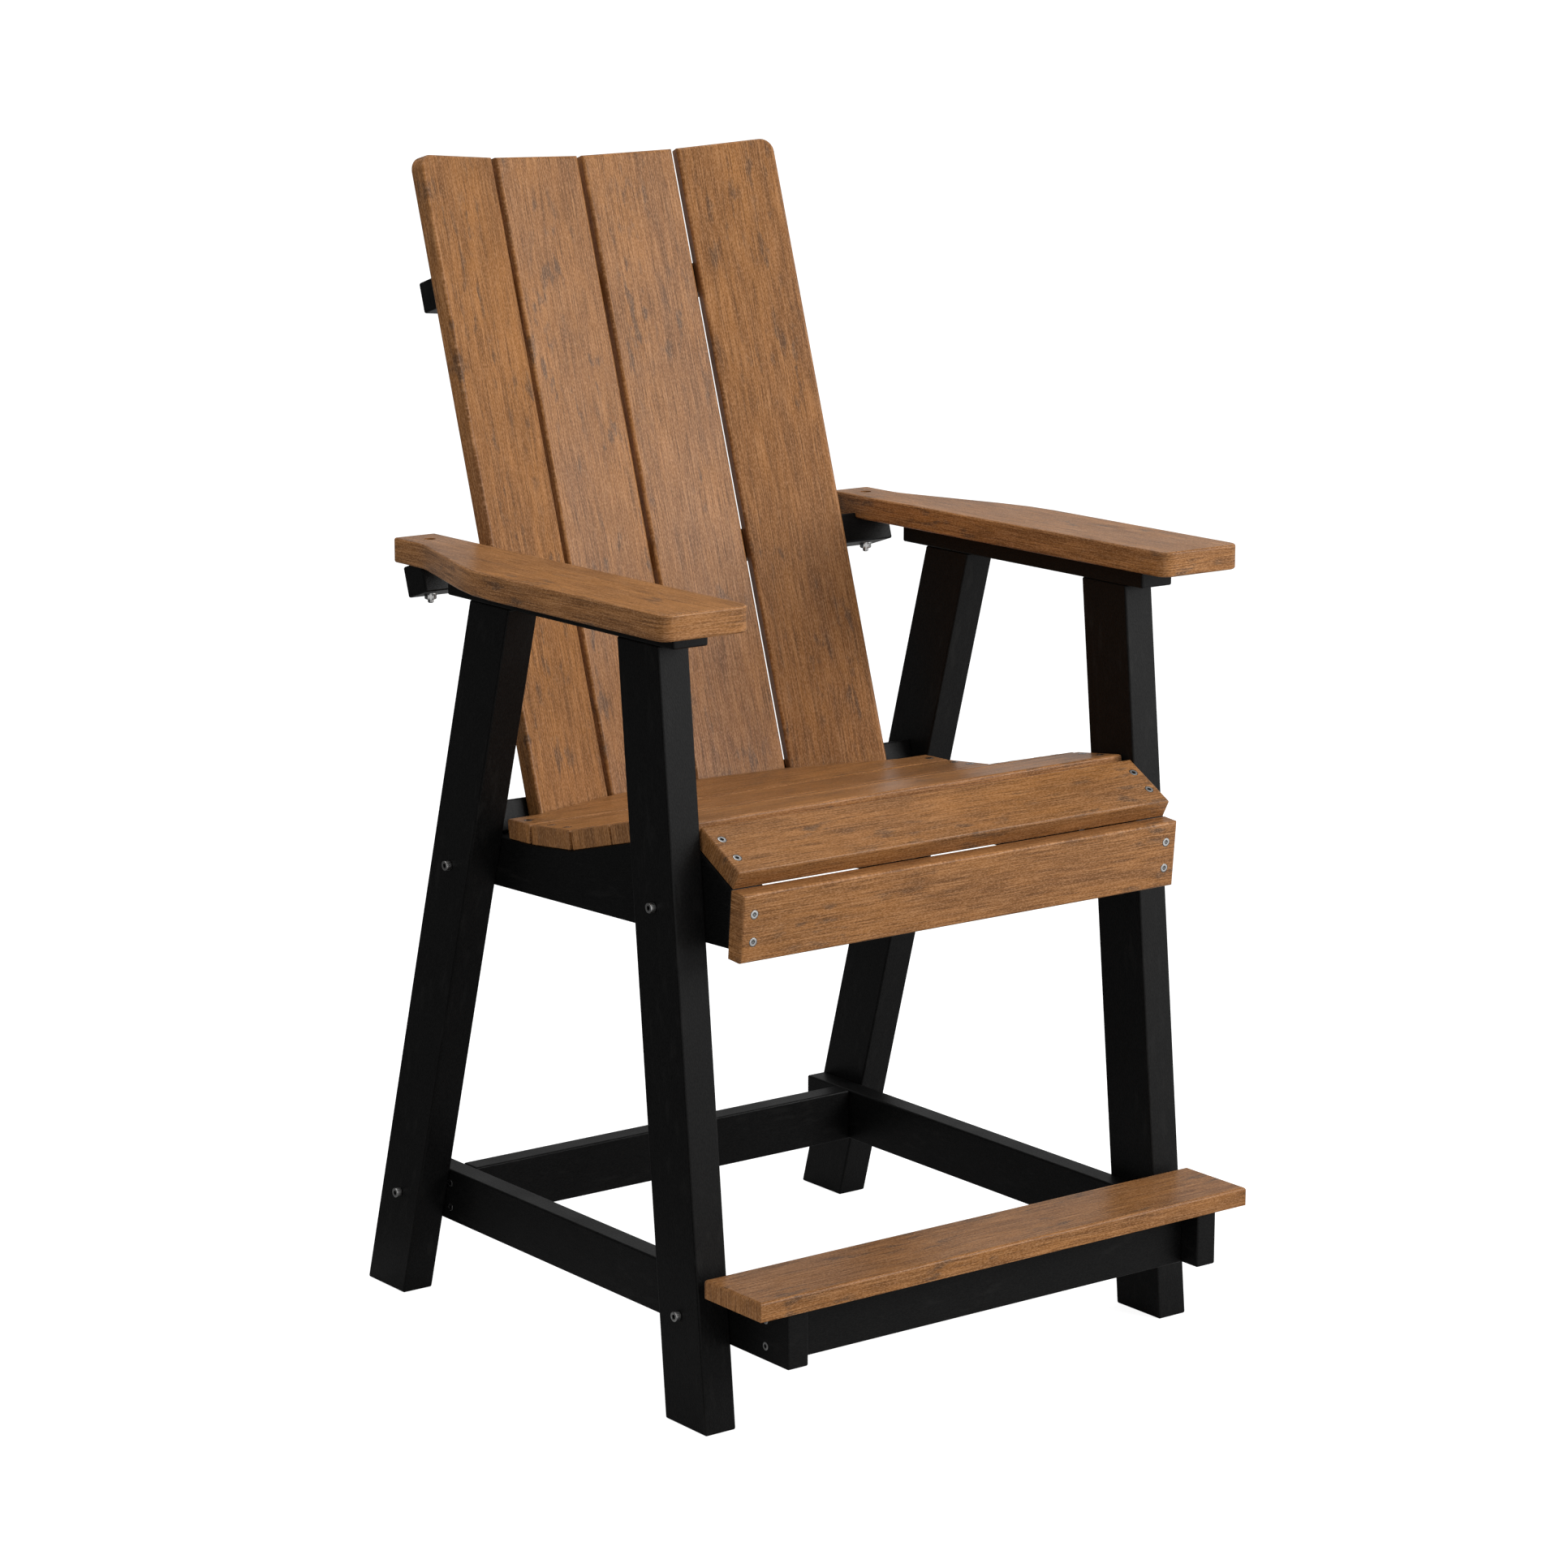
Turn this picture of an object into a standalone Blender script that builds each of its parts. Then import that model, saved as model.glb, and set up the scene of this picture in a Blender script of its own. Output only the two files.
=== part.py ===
"""Counter-height garden armchair of plastic-lumber boards, with a fan-contoured slatted back.

Metres, +Z up. The sitter faces -Y, and left and right are the viewer's, from the front: left is -X.
Four black legs lean into two A-shaped sides. Black boards on edge tie the sides together and carry the
seat; brown boards make the back, arms, seat and footrest. Through bolts with nuts hold the legs.
"""
import math

import bmesh
import bpy
from mathutils import Matrix, Vector

# Fits
FIT = 0.0003                              # gap kept between pieces that touch
BOLT_CLEARANCE = 0.0003                   # bolt to hole, on the radius

# Eased edges and cut corners
BOARD_EASE = 0.0018
SLAT_EASE = 0.0036
ARM_EASE = 0.0030
EASE_STEPS = 2
ARC_STEP = math.radians(15)               # longest turn of one straight piece of an arc

# Legs and lower frame
LEG_SPREAD = 0.6360                       # outer face to outer face
LEG_THICKNESS = 0.0370
LEG_DEPTH = 0.0693
LEG_HEIGHT = 0.7842
FRONT_FOOT_Y = -0.2618                    # centre line of the front legs at the floor
FOOT_SPACING = 0.5610                     # front to rear centre lines at the floor
FRONT_LEG_RAKE = math.radians(5.55)
REAR_LEG_RAKE = math.radians(15.9)
STRETCHER_THICKNESS = 0.0254
STRETCHER_DEPTH = 0.0578
STRETCHER_HEIGHT = 0.1428                 # top edge above the floor
STRETCHER_TAIL = 0.0249                   # side stretcher past the rear bolts
STRETCHER_SETBACK = 0.0055                # stretcher nose behind the footrest's front edge
REAR_CROSS_OFFSET = 0.0426                # rear cross stretcher ahead of the rear bolts
FOOTREST_CROSS_OFFSET = 0.0370            # footrest cross stretcher behind the stretcher noses
FOOTREST_LENGTH = 0.6356
FOOTREST_WIDTH = 0.0928
FOOTREST_THICKNESS = 0.0197
FOOTREST_LEG_GAP = 0.0114                 # footrest board to the front legs

# Seat
SEAT_REAR_HEIGHT = 0.5300                 # underside of the rear seat slat at its rear edge
SEAT_LEG_LEAD = 0.0078                    # rear seat slat ahead of the rear legs
SEAT_SLAT_WIDTH = 0.0713
REAR_SEAT_SLAT_WIDTH = 0.0405
SEAT_SLAT_THICKNESS = 0.0207
SEAT_SLAT_GAP = 0.0012                    # narrowest gap between neighbours
SEAT_SLAT_END_GAP = 0.0023                # slat end to leg
SEAT_TILTS = tuple(math.radians(a) for a in (1.5, 5.6, 14.6, 14.6, 7.2, -28.6))  # rear to front
APRON_WIDTH = 0.0700
APRON_TILT = math.radians(4.8)            # top leans forward
APRON_DROP = 0.0006                       # apron's top edge below the front slat
STRINGER_THICKNESS = 0.0395
STRINGER_TAIL = 0.0209                    # side stringer past the rear bolts
STRINGER_TAIL_DEPTH = 0.0535              # bottom edge below the rear seat slat
STRINGER_NOSE_DEPTH = 0.0605              # height of the front end
CENTRE_STRINGER_THICKNESS = 0.0380
CENTRE_STRINGER_NOSE_DEPTH = 0.0675
CENTRE_STRINGER_SETBACK = 0.0030          # its front end behind the front slat
FRONT_BOLT_RISE = 0.0360                  # seat bolts above the stringer's bottom edge
REAR_BOLT_RISE = 0.0220

# Back
BACK_LEAN = math.radians(17.6)
SLAT_COUNT = 4
SLAT_WIDTH = 0.1139
SLAT_THICKNESS = 0.0190
SLAT_LENGTH = 0.7188
SLAT_GAP = 0.0056
SLAT_TURN = math.radians(10.8)            # between neighbours
SLAT_TOP_CORNER = 0.0160                  # rounded top corner of the outer slats
SLAT_FOOT_DROP = 0.0063                   # slat feet below the rear seat slat's underside
SEAT_BACK_GAP = 0.0042                    # rear seat slat to the outer slats
BRACE_THICKNESS = 0.0330
BRACE_DEPTH = 0.0390
BRACE_CORNER = 0.0050
UPPER_BRACE_DROP = 0.1260                 # upper brace's top below the slat tops
UPPER_BRACE_INSET = 0.0123                # upper brace's ends inside the outer slats' edges
BRACE_ARC_STEPS = 12

# Arms
RAIL_WIDTH = 0.0415
RAIL_THICKNESS = 0.0188
RAIL_NOSE = 0.0294                        # rail past the front legs
RAIL_TAIL = 0.0382                        # rail past the rear legs
ARM_THICKNESS = 0.0263
ARM_INNER_OVERHANG = 0.0150               # arm past the rail, toward the sitter
ARM_FRONT_WIDTH = 0.1056
ARM_REAR_WIDTH = 0.0515
ARM_NOSE = 0.0510                         # arm past the rail's front end
ARM_TAIL = 0.0310                         # arm past its bolt
ARM_FLARE_START = 0.0575                  # from the arm's rear end
ARM_FLARE_LENGTH = 0.1700
ARM_FLARE_REAR_RADIUS = 0.0800
ARM_FLARE_FRONT_RADIUS = 0.2500
ARM_OUTER_CORNER = 0.0135
ARM_CORNER = 0.0035
ARM_NOTCH_DEPTH = 0.0065                  # arm let into the arm-level brace, at its front edge
ARM_NOTCH_GAP = 0.0070                    # notch shoulder to the arm's inner edge
BRACE_END_INSET = 0.0055                  # arm-level brace's ends inside the arm's outer edge

# Fasteners
BOLT_DIAMETER = 0.0064
BOLT_HEAD_DIAMETER = 0.0106
BOLT_HEAD_HEIGHT = 0.0062
BOLT_SOCKET_WIDTH = 0.0048                # across flats
BOLT_SOCKET_DEPTH = 0.0032
BOLT_POINT = 0.0040                       # bolt past its nut
NUT_WIDTH = 0.0111                        # across flats
NUT_HEIGHT = 0.0056
WASHER_DIAMETER = 0.0150
WASHER_THICKNESS = 0.0015
HEAD_RECESS_GAP = 0.0008                  # arm bolt's head to its recess
HEAD_RECESS_COVER = 0.0040                # arm bolt's head below the arm's top
SPOT_FACE_GAP = 0.0010                    # washer to the rim of its spot face
ROUND_STEPS = 16
CUT_REACH = 0.0100                        # cutters past the surface they cut

# Turn that takes a flat outline drawn in (y, z) into the world, its thickness along X
SIDE_VIEW = Matrix(((0, 0, 1), (1, 0, 0), (0, 1, 0)))
PLAN_VIEW = Matrix.Identity(3)


def clear_scene():
    """Empty the file's scene."""
    for item in list(bpy.data.objects):
        bpy.data.objects.remove(item)


def new_collection(name):
    """Collection linked to the scene."""
    group = bpy.data.collections.new(name)
    bpy.context.scene.collection.children.link(group)
    return group


def new_finish(name, colour, roughness, metallic):
    """Principled material with one plain finish."""
    finish = bpy.data.materials.new(name)
    finish.use_nodes = True
    surface = finish.node_tree.nodes["Principled BSDF"]
    surface.inputs["Base Color"].default_value = (*colour, 1)
    surface.inputs["Roughness"].default_value = roughness
    surface.inputs["Metallic"].default_value = metallic
    finish.diffuse_color = (*colour, 1)
    return finish


clear_scene()
PARTS = new_collection("counter_chair")
CUTTERS = new_collection("counter_chair_cutters")
BROWN = new_finish("brown_board", (0.30, 0.16, 0.075), 0.50, 0.0)
BLACK = new_finish("black_board", (0.012, 0.012, 0.012), 0.55, 0.0)
STEEL = new_finish("stainless_steel", (0.62, 0.61, 0.59), 0.30, 1.0)


# Building blocks

def mesh_from(bm, name):
    """Closed mesh from a bmesh, with its faces turned outward."""
    bmesh.ops.recalc_face_normals(bm, faces=bm.faces)
    mesh = bpy.data.meshes.new(name)
    bm.to_mesh(mesh)
    bm.free()
    return mesh


def add_part(name, mesh, finish, turn=PLAN_VIEW, place=(0, 0, 0), parent=None, ease=0.0):
    """One sub-part: its mesh, turned and placed, with its finish and eased edges."""
    part = bpy.data.objects.new(name, mesh)
    part.matrix_local = Matrix.Translation(place) @ turn.to_4x4()
    part.parent = parent
    PARTS.objects.link(part)
    mesh.materials.append(finish)
    if ease:
        edges = part.modifiers.new("eased_edges", "BEVEL")
        edges.width = ease
        edges.segments = EASE_STEPS
        edges.limit_method = "ANGLE"
        edges.angle_limit = math.radians(30)
    return part


def box_mesh(name, size):
    """Box centred on its origin."""
    bm = bmesh.new()
    bmesh.ops.create_cube(bm, size=1, matrix=Matrix.Diagonal((*size, 1)))
    return mesh_from(bm, name)


def round_mesh(name, diameter, length, sides=ROUND_STEPS):
    """Cylinder, or a prism of few sides, centred on its origin along Z."""
    bm = bmesh.new()
    radius = diameter / 2
    bmesh.ops.create_cone(bm, cap_ends=True, segments=sides, radius1=radius, radius2=radius, depth=length)
    return mesh_from(bm, name)


def cut(part, name, mesh, turn=PLAN_VIEW, place=(0, 0, 0)):
    """Take a cutter's shape out of a part."""
    cutter = bpy.data.objects.new(name, mesh)
    cutter.matrix_local = Matrix.Translation(place) @ turn.to_4x4()
    cutter.display_type = "WIRE"
    cutter.hide_render = True
    CUTTERS.objects.link(cutter)
    taken = part.modifiers.new(name, "BOOLEAN")
    taken.operation = "DIFFERENCE"
    taken.solver = "EXACT"
    taken.object = cutter


def rounded_outline(corners):
    """Closed outline from (point, radius) corners, each corner turned into an arc of its radius."""
    outline = []
    for index, (point, radius) in enumerate(corners):
        corner = Vector(point)
        before = (Vector(corners[index - 1][0]) - corner).normalized()
        after = (Vector(corners[(index + 1) % len(corners)][0]) - corner).normalized()
        turn = math.pi - before.angle(after)
        if radius == 0 or turn < 1e-6:
            outline.append(corner)
            continue
        tangent = radius * math.tan(turn / 2)
        centre = corner + (before + after).normalized() * (radius / math.cos(turn / 2))
        start = corner + before * tangent - centre
        side = math.copysign(1, before.cross(after))
        steps = max(1, math.ceil(turn / ARC_STEP))
        for step in range(steps + 1):
            swing = Matrix.Rotation(-side * turn * step / steps, 2)
            outline.append(centre + swing @ start)
    return outline


def board_mesh(name, outline, thickness):
    """Board cut to a flat outline: a filled 2D curve, extruded half the thickness to each side."""
    curve = bpy.data.curves.new(name, "CURVE")
    curve.dimensions = "2D"
    curve.fill_mode = "BOTH"
    curve.extrude = thickness / 2
    spline = curve.splines.new("POLY")
    spline.points.add(len(outline) - 1)
    for point, (across, along) in zip(spline.points, outline):
        point.co = (across, along, 0, 1)
    spline.use_cyclic_u = True
    drawn = bpy.data.objects.new(name, curve)
    bpy.context.scene.collection.objects.link(drawn)
    evaluated = drawn.evaluated_get(bpy.context.evaluated_depsgraph_get())
    mesh = bpy.data.meshes.new_from_object(evaluated)
    bpy.data.objects.remove(drawn)
    bpy.data.curves.remove(curve)
    bm = bmesh.new()
    bm.from_mesh(mesh)
    bpy.data.meshes.remove(mesh)
    bmesh.ops.remove_doubles(bm, verts=bm.verts, dist=0.000001)
    bmesh.ops.dissolve_limit(bm, angle_limit=math.radians(0.5), verts=bm.verts, edges=bm.edges)
    return mesh_from(bm, name)


def turned_mesh(name, profile):
    """Solid turned about Z from a (radius, height) profile that runs from its top down its outer side."""
    bm = bmesh.new()
    points = [bm.verts.new((radius, 0, height)) for radius, height in profile]
    for upper, lower in zip(points, points[1:]):
        bm.edges.new((upper, lower))
    line = bpy.data.meshes.new(name)
    bm.to_mesh(line)
    bm.free()
    turning = bpy.data.objects.new(name, line)
    PARTS.objects.link(turning)
    lathe = turning.modifiers.new("lathe", "SCREW")
    lathe.steps = ROUND_STEPS
    lathe.render_steps = ROUND_STEPS
    lathe.use_merge_vertices = True
    lathe.merge_threshold = 0.00001
    evaluated = turning.evaluated_get(bpy.context.evaluated_depsgraph_get())
    mesh = bpy.data.meshes.new_from_object(evaluated)
    bpy.data.objects.remove(turning)
    mesh.name = name
    return mesh


def mirrored(outline, side):
    """Outline for one side: as drawn for the right, reversed and flipped for the left."""
    if side > 0:
        return outline
    return [Vector((-point[0], point[1])) for point in reversed(outline)]


SIDES = (("left", -1), ("right", 1))

# Places worked out from the driving dimensions
LEG_INNER_X = LEG_SPREAD / 2 - LEG_THICKNESS
LEG_CENTRE_X = LEG_SPREAD / 2 - LEG_THICKNESS / 2
REAR_FOOT_Y = FRONT_FOOT_Y + FOOT_SPACING
STRETCHER_MIDDLE = STRETCHER_HEIGHT - STRETCHER_DEPTH / 2
ARM_UNDERSIDE = LEG_HEIGHT + FIT + RAIL_THICKNESS + FIT
ARM_INNER_X = LEG_CENTRE_X - RAIL_WIDTH / 2 - ARM_INNER_OVERHANG
ARM_BOLT_X = ARM_INNER_X + ARM_REAR_WIDTH / 2


def front_leg_y(height):
    """Centre line of the front legs at a height."""
    return FRONT_FOOT_Y + math.tan(FRONT_LEG_RAKE) * height


def rear_leg_y(height):
    """Centre line of the rear legs at a height."""
    return REAR_FOOT_Y - math.tan(REAR_LEG_RAKE) * height


def leg_half(rake):
    """Half of a raked leg's depth, measured level."""
    return LEG_DEPTH / 2 / math.cos(rake)


# Seat line: where each seat slat lies, in the side view

def seat_line():
    """Rear and front lower corners (y, z) of each seat slat, rear to front.

    Neighbours that fold upward are spread at the bottom, so that their tops keep the slat gap.
    """
    rear_y = rear_leg_y(SEAT_REAR_HEIGHT) - leg_half(REAR_LEG_RAKE) - SEAT_LEG_LEAD
    corner = Vector((rear_y, SEAT_REAR_HEIGHT))
    lines = []
    for index, tilt in enumerate(SEAT_TILTS):
        width = SEAT_SLAT_WIDTH if index else REAR_SEAT_SLAT_WIDTH
        front = corner + width * Vector((-math.cos(tilt), math.sin(tilt)))
        lines.append((corner, front))
        if index + 1 < len(SEAT_TILTS):
            fold = SEAT_TILTS[index + 1] - tilt
            middle = tilt + fold / 2
            spread = SEAT_SLAT_GAP + 2 * SEAT_SLAT_THICKNESS * math.tan(max(fold, 0) / 2)
            corner = front + spread * Vector((-math.cos(middle), math.sin(middle)))
    return lines


SEAT_LINES = seat_line()
SEAT_REAR_Y = SEAT_LINES[0][0][0]
FRONT_SLAT_TIP = SEAT_LINES[-1][1]
APRON_TOP = FRONT_SLAT_TIP - Vector((0, APRON_DROP))       # upper rear corner of the apron
APRON_DOWN = Vector((math.sin(APRON_TILT), -math.cos(APRON_TILT)))

# Back frame: u to the right, w backward, v up the back; slats and braces are drawn in it

def slat_plan():
    """Front face of each right-hand slat in plan: its inner corner (u, w) and its turn."""
    spots = []
    corner = Vector((SLAT_GAP / 2, 0))
    for index in range(SLAT_COUNT // 2):
        turn = (index + 0.5) * SLAT_TURN
        spots.append((corner, turn))
        outer = corner + SLAT_WIDTH * Vector((math.cos(turn), -math.sin(turn)))
        between = turn + SLAT_TURN / 2
        corner = outer + SLAT_GAP * Vector((math.cos(between), -math.sin(between)))
    return spots


SLAT_PLAN = slat_plan()
OUTER_CORNER, OUTER_TURN = SLAT_PLAN[-1]
OUTER_EDGE = OUTER_CORNER + SLAT_WIDTH * Vector((math.cos(OUTER_TURN), -math.sin(OUTER_TURN)))
BACK_FOOT_Z = SEAT_REAR_HEIGHT - SLAT_FOOT_DROP
SEAT_RISE_TO_BACK = SLAT_FOOT_DROP + OUTER_EDGE[1] * math.sin(BACK_LEAN)
BACK_FOOT_Y = (SEAT_REAR_Y + SEAT_BACK_GAP - OUTER_EDGE[1] * math.cos(BACK_LEAN)
               - SEAT_RISE_TO_BACK * math.tan(BACK_LEAN))
BACK_TURN = Matrix.Rotation(-BACK_LEAN, 3, "X")


def back_to_world(u, w, v):
    """World place of a point of the back frame."""
    return Vector((0, BACK_FOOT_Y, BACK_FOOT_Z)) + BACK_TURN @ Vector((u, w, v))


def behind_slat(spot):
    """Line behind a slat, where a brace seats on it: a point and a direction in plan."""
    corner, turn = spot
    along = Vector((math.cos(turn), -math.sin(turn)))
    back = Vector((math.sin(turn), math.cos(turn)))
    return corner + back * (SLAT_THICKNESS + FIT), along


def crossing(first, second):
    """Crossing of two lines, each a point and a direction."""
    (p, d), (q, e) = first, second
    return p + d * ((q - p).cross(e) / d.cross(e))


MIDDLE_LINE = (Vector((0, 0)), Vector((0, 1)))
OUTER_BACK_POINT, OUTER_BACK_ALONG = behind_slat(SLAT_PLAN[-1])
BRACE_SHOULDER = OUTER_BACK_POINT + OUTER_BACK_ALONG * SLAT_WIDTH    # behind the outer slat's outer edge
WING_MIDDLE = BRACE_SHOULDER[1] + BRACE_DEPTH / 2
ARM_BRACE_TOP = ((ARM_UNDERSIDE + ARM_NOTCH_DEPTH - BACK_FOOT_Z + BRACE_SHOULDER[1] * math.sin(BACK_LEAN))
                 / math.cos(BACK_LEAN))
ARM_BRACE_REACH = ARM_INNER_X + ARM_REAR_WIDTH - BRACE_END_INSET
ARM_BOLT_Y = back_to_world(0, WING_MIDDLE, ARM_BRACE_TOP - BRACE_THICKNESS / 2)[1]


def seat_cut_height(y):
    """Height of the plane, square to the back, that the lower brace and the slat feet stand on."""
    return BACK_FOOT_Z - (y - BACK_FOOT_Y) * math.tan(BACK_LEAN) - FIT / math.cos(BACK_LEAN)


# Bolts through the legs

def stringer_bottom(y):
    """Bottom edge of the side stringers: straight from below the seat's rear edge to the nose."""
    nose = FRONT_SLAT_TIP
    rise = (nose[1] - STRINGER_NOSE_DEPTH) - (SEAT_REAR_HEIGHT - STRINGER_TAIL_DEPTH)
    return SEAT_REAR_HEIGHT - STRINGER_TAIL_DEPTH + rise * (y - SEAT_REAR_Y) / (nose[0] - SEAT_REAR_Y)


def seat_bolt(leg_y, rise):
    """Place (y, z) on a leg's centre line, a rise above the stringer's bottom edge."""
    height = stringer_bottom(leg_y(SEAT_REAR_HEIGHT)) + rise
    return leg_y(height), height


LEG_BOLTS = {
    "front_seat": (*seat_bolt(front_leg_y, FRONT_BOLT_RISE), STRINGER_THICKNESS),
    "rear_seat": (*seat_bolt(rear_leg_y, REAR_BOLT_RISE), STRINGER_THICKNESS),
    "front_stretcher": (front_leg_y(STRETCHER_MIDDLE), STRETCHER_MIDDLE, STRETCHER_THICKNESS),
    "rear_stretcher": (rear_leg_y(STRETCHER_MIDDLE), STRETCHER_MIDDLE, STRETCHER_THICKNESS),
}
REAR_SEAT_BOLT_Y = LEG_BOLTS["rear_seat"][0]
REAR_STRETCHER_BOLT_Y = LEG_BOLTS["rear_stretcher"][0]
HOLE_DIAMETER = BOLT_DIAMETER + 2 * BOLT_CLEARANCE
ACROSS = Matrix.Rotation(math.pi / 2, 3, "Y")              # turns Z to X, for holes across the chair


def drill_across(part, mark, y, z):
    """Bolt hole along X, right through a board."""
    mesh = round_mesh("hole", HOLE_DIAMETER, LEG_SPREAD)
    cut(part, part.name + "_hole_" + mark, mesh, ACROSS, (part.location[0], y, z))


# Legs

def add_leg(name, side, foot_y, rake_slope, rake, bolts):
    """Raked leg: a parallelogram with level ends, drilled for its bolts."""
    half = leg_half(rake)
    top_y = foot_y + rake_slope * LEG_HEIGHT
    outline = [(foot_y - half, 0), (foot_y + half, 0), (top_y + half, LEG_HEIGHT), (top_y - half, LEG_HEIGHT)]
    mesh = board_mesh(name, outline, LEG_THICKNESS)
    leg = add_part(name, mesh, BLACK, SIDE_VIEW, (side * LEG_CENTRE_X, 0, 0), ease=BOARD_EASE)
    for bolt in bolts:
        drill_across(leg, bolt, *LEG_BOLTS[bolt][:2])


def add_legs():
    """Two front and two rear legs."""
    for word, side in SIDES:
        add_leg("leg_front_" + word, side, FRONT_FOOT_Y, math.tan(FRONT_LEG_RAKE), FRONT_LEG_RAKE,
                ("front_seat", "front_stretcher"))
        add_leg("leg_rear_" + word, side, REAR_FOOT_Y, -math.tan(REAR_LEG_RAKE), REAR_LEG_RAKE,
                ("rear_seat", "rear_stretcher"))


# Lower frame and footrest
FOOTREST_REAR_Y = front_leg_y(STRETCHER_HEIGHT) - leg_half(FRONT_LEG_RAKE) - FOOTREST_LEG_GAP
FOOTREST_FRONT_Y = FOOTREST_REAR_Y - FOOTREST_WIDTH
STRETCHER_NOSE_Y = FOOTREST_FRONT_Y + STRETCHER_SETBACK
STRETCHER_X = LEG_INNER_X - FIT - STRETCHER_THICKNESS / 2


def add_side_stretchers():
    """Boards on edge inside the legs, from the rear legs out under the footrest."""
    tail_y = REAR_STRETCHER_BOLT_Y + STRETCHER_TAIL
    size = (STRETCHER_THICKNESS, tail_y - STRETCHER_NOSE_Y, STRETCHER_DEPTH)
    for word, side in SIDES:
        name = "side_stretcher_" + word
        place = (side * STRETCHER_X, (tail_y + STRETCHER_NOSE_Y) / 2, STRETCHER_MIDDLE)
        board = add_part(name, box_mesh(name, size), BLACK, place=place, ease=BOARD_EASE)
        for bolt in ("front_stretcher", "rear_stretcher"):
            drill_across(board, bolt, *LEG_BOLTS[bolt][:2])


def add_cross_stretchers():
    """Boards on edge between the side stretchers: ahead of the rear legs, and under the footrest."""
    span = 2 * (STRETCHER_X - STRETCHER_THICKNESS / 2 - FIT)
    size = (span, STRETCHER_THICKNESS, STRETCHER_DEPTH)
    for name, y in (
        ("cross_stretcher_rear", REAR_STRETCHER_BOLT_Y - REAR_CROSS_OFFSET),
        ("cross_stretcher_footrest", STRETCHER_NOSE_Y + FOOTREST_CROSS_OFFSET),
    ):
        add_part(name, box_mesh(name, size), BLACK, place=(0, y, STRETCHER_MIDDLE), ease=BOARD_EASE)


def add_footrest():
    """Footrest board, flat on the stretchers' noses."""
    size = (FOOTREST_LENGTH, FOOTREST_WIDTH, FOOTREST_THICKNESS)
    place = (0, (FOOTREST_FRONT_Y + FOOTREST_REAR_Y) / 2, STRETCHER_HEIGHT + FIT + FOOTREST_THICKNESS / 2)
    add_part("footrest_board", box_mesh("footrest_board", size), BROWN, place=place, ease=BOARD_EASE)


# Seat

def stringer_top(tail_y):
    """Top edge of a stringer, rear to front: the lower brace's sloped seat, then the slats' dished line."""
    drop = Vector((0, FIT / math.cos(SEAT_TILTS[-1])))
    first, tilt = SEAT_LINES[0][0] - drop, SEAT_TILTS[0]
    slope = Vector((1, -math.tan(BACK_LEAN)))
    knee = crossing((first, Vector((-math.cos(tilt), math.sin(tilt)))),
                    (Vector((tail_y, seat_cut_height(tail_y))), slope))
    edge = [Vector((tail_y, seat_cut_height(tail_y))), knee]
    for (_, front), (rear, _) in zip(SEAT_LINES, SEAT_LINES[1:]):
        edge.append((front + rear) / 2 - drop)
    return edge


def add_side_stringers():
    """Boards on edge inside the legs that carry the slats; their noses carry the apron."""
    tail_y = REAR_SEAT_BOLT_Y + STRINGER_TAIL
    top = stringer_top(tail_y)
    under_front_slat = (top[-1], FRONT_SLAT_TIP - SEAT_LINES[-1][0])
    behind_apron = (APRON_TOP + Vector((FIT / math.cos(APRON_TILT), 0)), APRON_DOWN)
    nose_top = crossing(under_front_slat, behind_apron)
    nose_foot = nose_top + APRON_DOWN * ((nose_top[1] - stringer_bottom(nose_top[0])) / math.cos(APRON_TILT))
    outline = [*top, nose_top, nose_foot, Vector((tail_y, stringer_bottom(tail_y)))]
    for word, side in SIDES:
        name = "seat_stringer_" + word
        x = side * (LEG_INNER_X - FIT - STRINGER_THICKNESS / 2)
        board = add_part(name, board_mesh(name, outline, STRINGER_THICKNESS), BLACK, SIDE_VIEW, (x, 0, 0),
                         ease=BOARD_EASE)
        for bolt in ("front_seat", "rear_seat"):
            drill_across(board, bolt, *LEG_BOLTS[bolt][:2])


def add_centre_stringer():
    """Middle board under the slats, from below the lower brace to just behind the front slat."""
    tail_y = back_to_world(0, behind_slat(SLAT_PLAN[0])[0][1] + BRACE_DEPTH, 0)[1]
    top = stringer_top(tail_y)
    nose_y = SEAT_LINES[-1][0][0] + CENTRE_STRINGER_SETBACK
    before, last = top[-2], top[-1]
    nose_top = crossing((before, last - before), (Vector((nose_y, 0)), Vector((0, 1))))
    nose_foot = nose_top - Vector((0, CENTRE_STRINGER_NOSE_DEPTH))
    outline = [*top[:-1], nose_top, nose_foot, Vector((tail_y, stringer_bottom(tail_y)))]
    name = "seat_stringer_centre"
    add_part(name, board_mesh(name, outline, CENTRE_STRINGER_THICKNESS), BLACK, SIDE_VIEW, ease=BOARD_EASE)


def add_seat_slats():
    """Five slats on the dished line and the sloped front slat."""
    length = 2 * (LEG_INNER_X - SEAT_SLAT_END_GAP)
    names = ["seat_slat_%d" % (index + 1) for index in range(len(SEAT_LINES) - 1)] + ["seat_front_slat"]
    for name, (rear, front), tilt in zip(names, SEAT_LINES, SEAT_TILTS):
        width = (front - rear).length
        normal = Vector((math.sin(tilt), math.cos(tilt)))
        y, z = (rear + front) / 2 + normal * SEAT_SLAT_THICKNESS / 2
        mesh = box_mesh(name, (length, width, SEAT_SLAT_THICKNESS))
        add_part(name, mesh, BROWN, Matrix.Rotation(-tilt, 3, "X"), (0, y, z), ease=SLAT_EASE)


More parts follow.
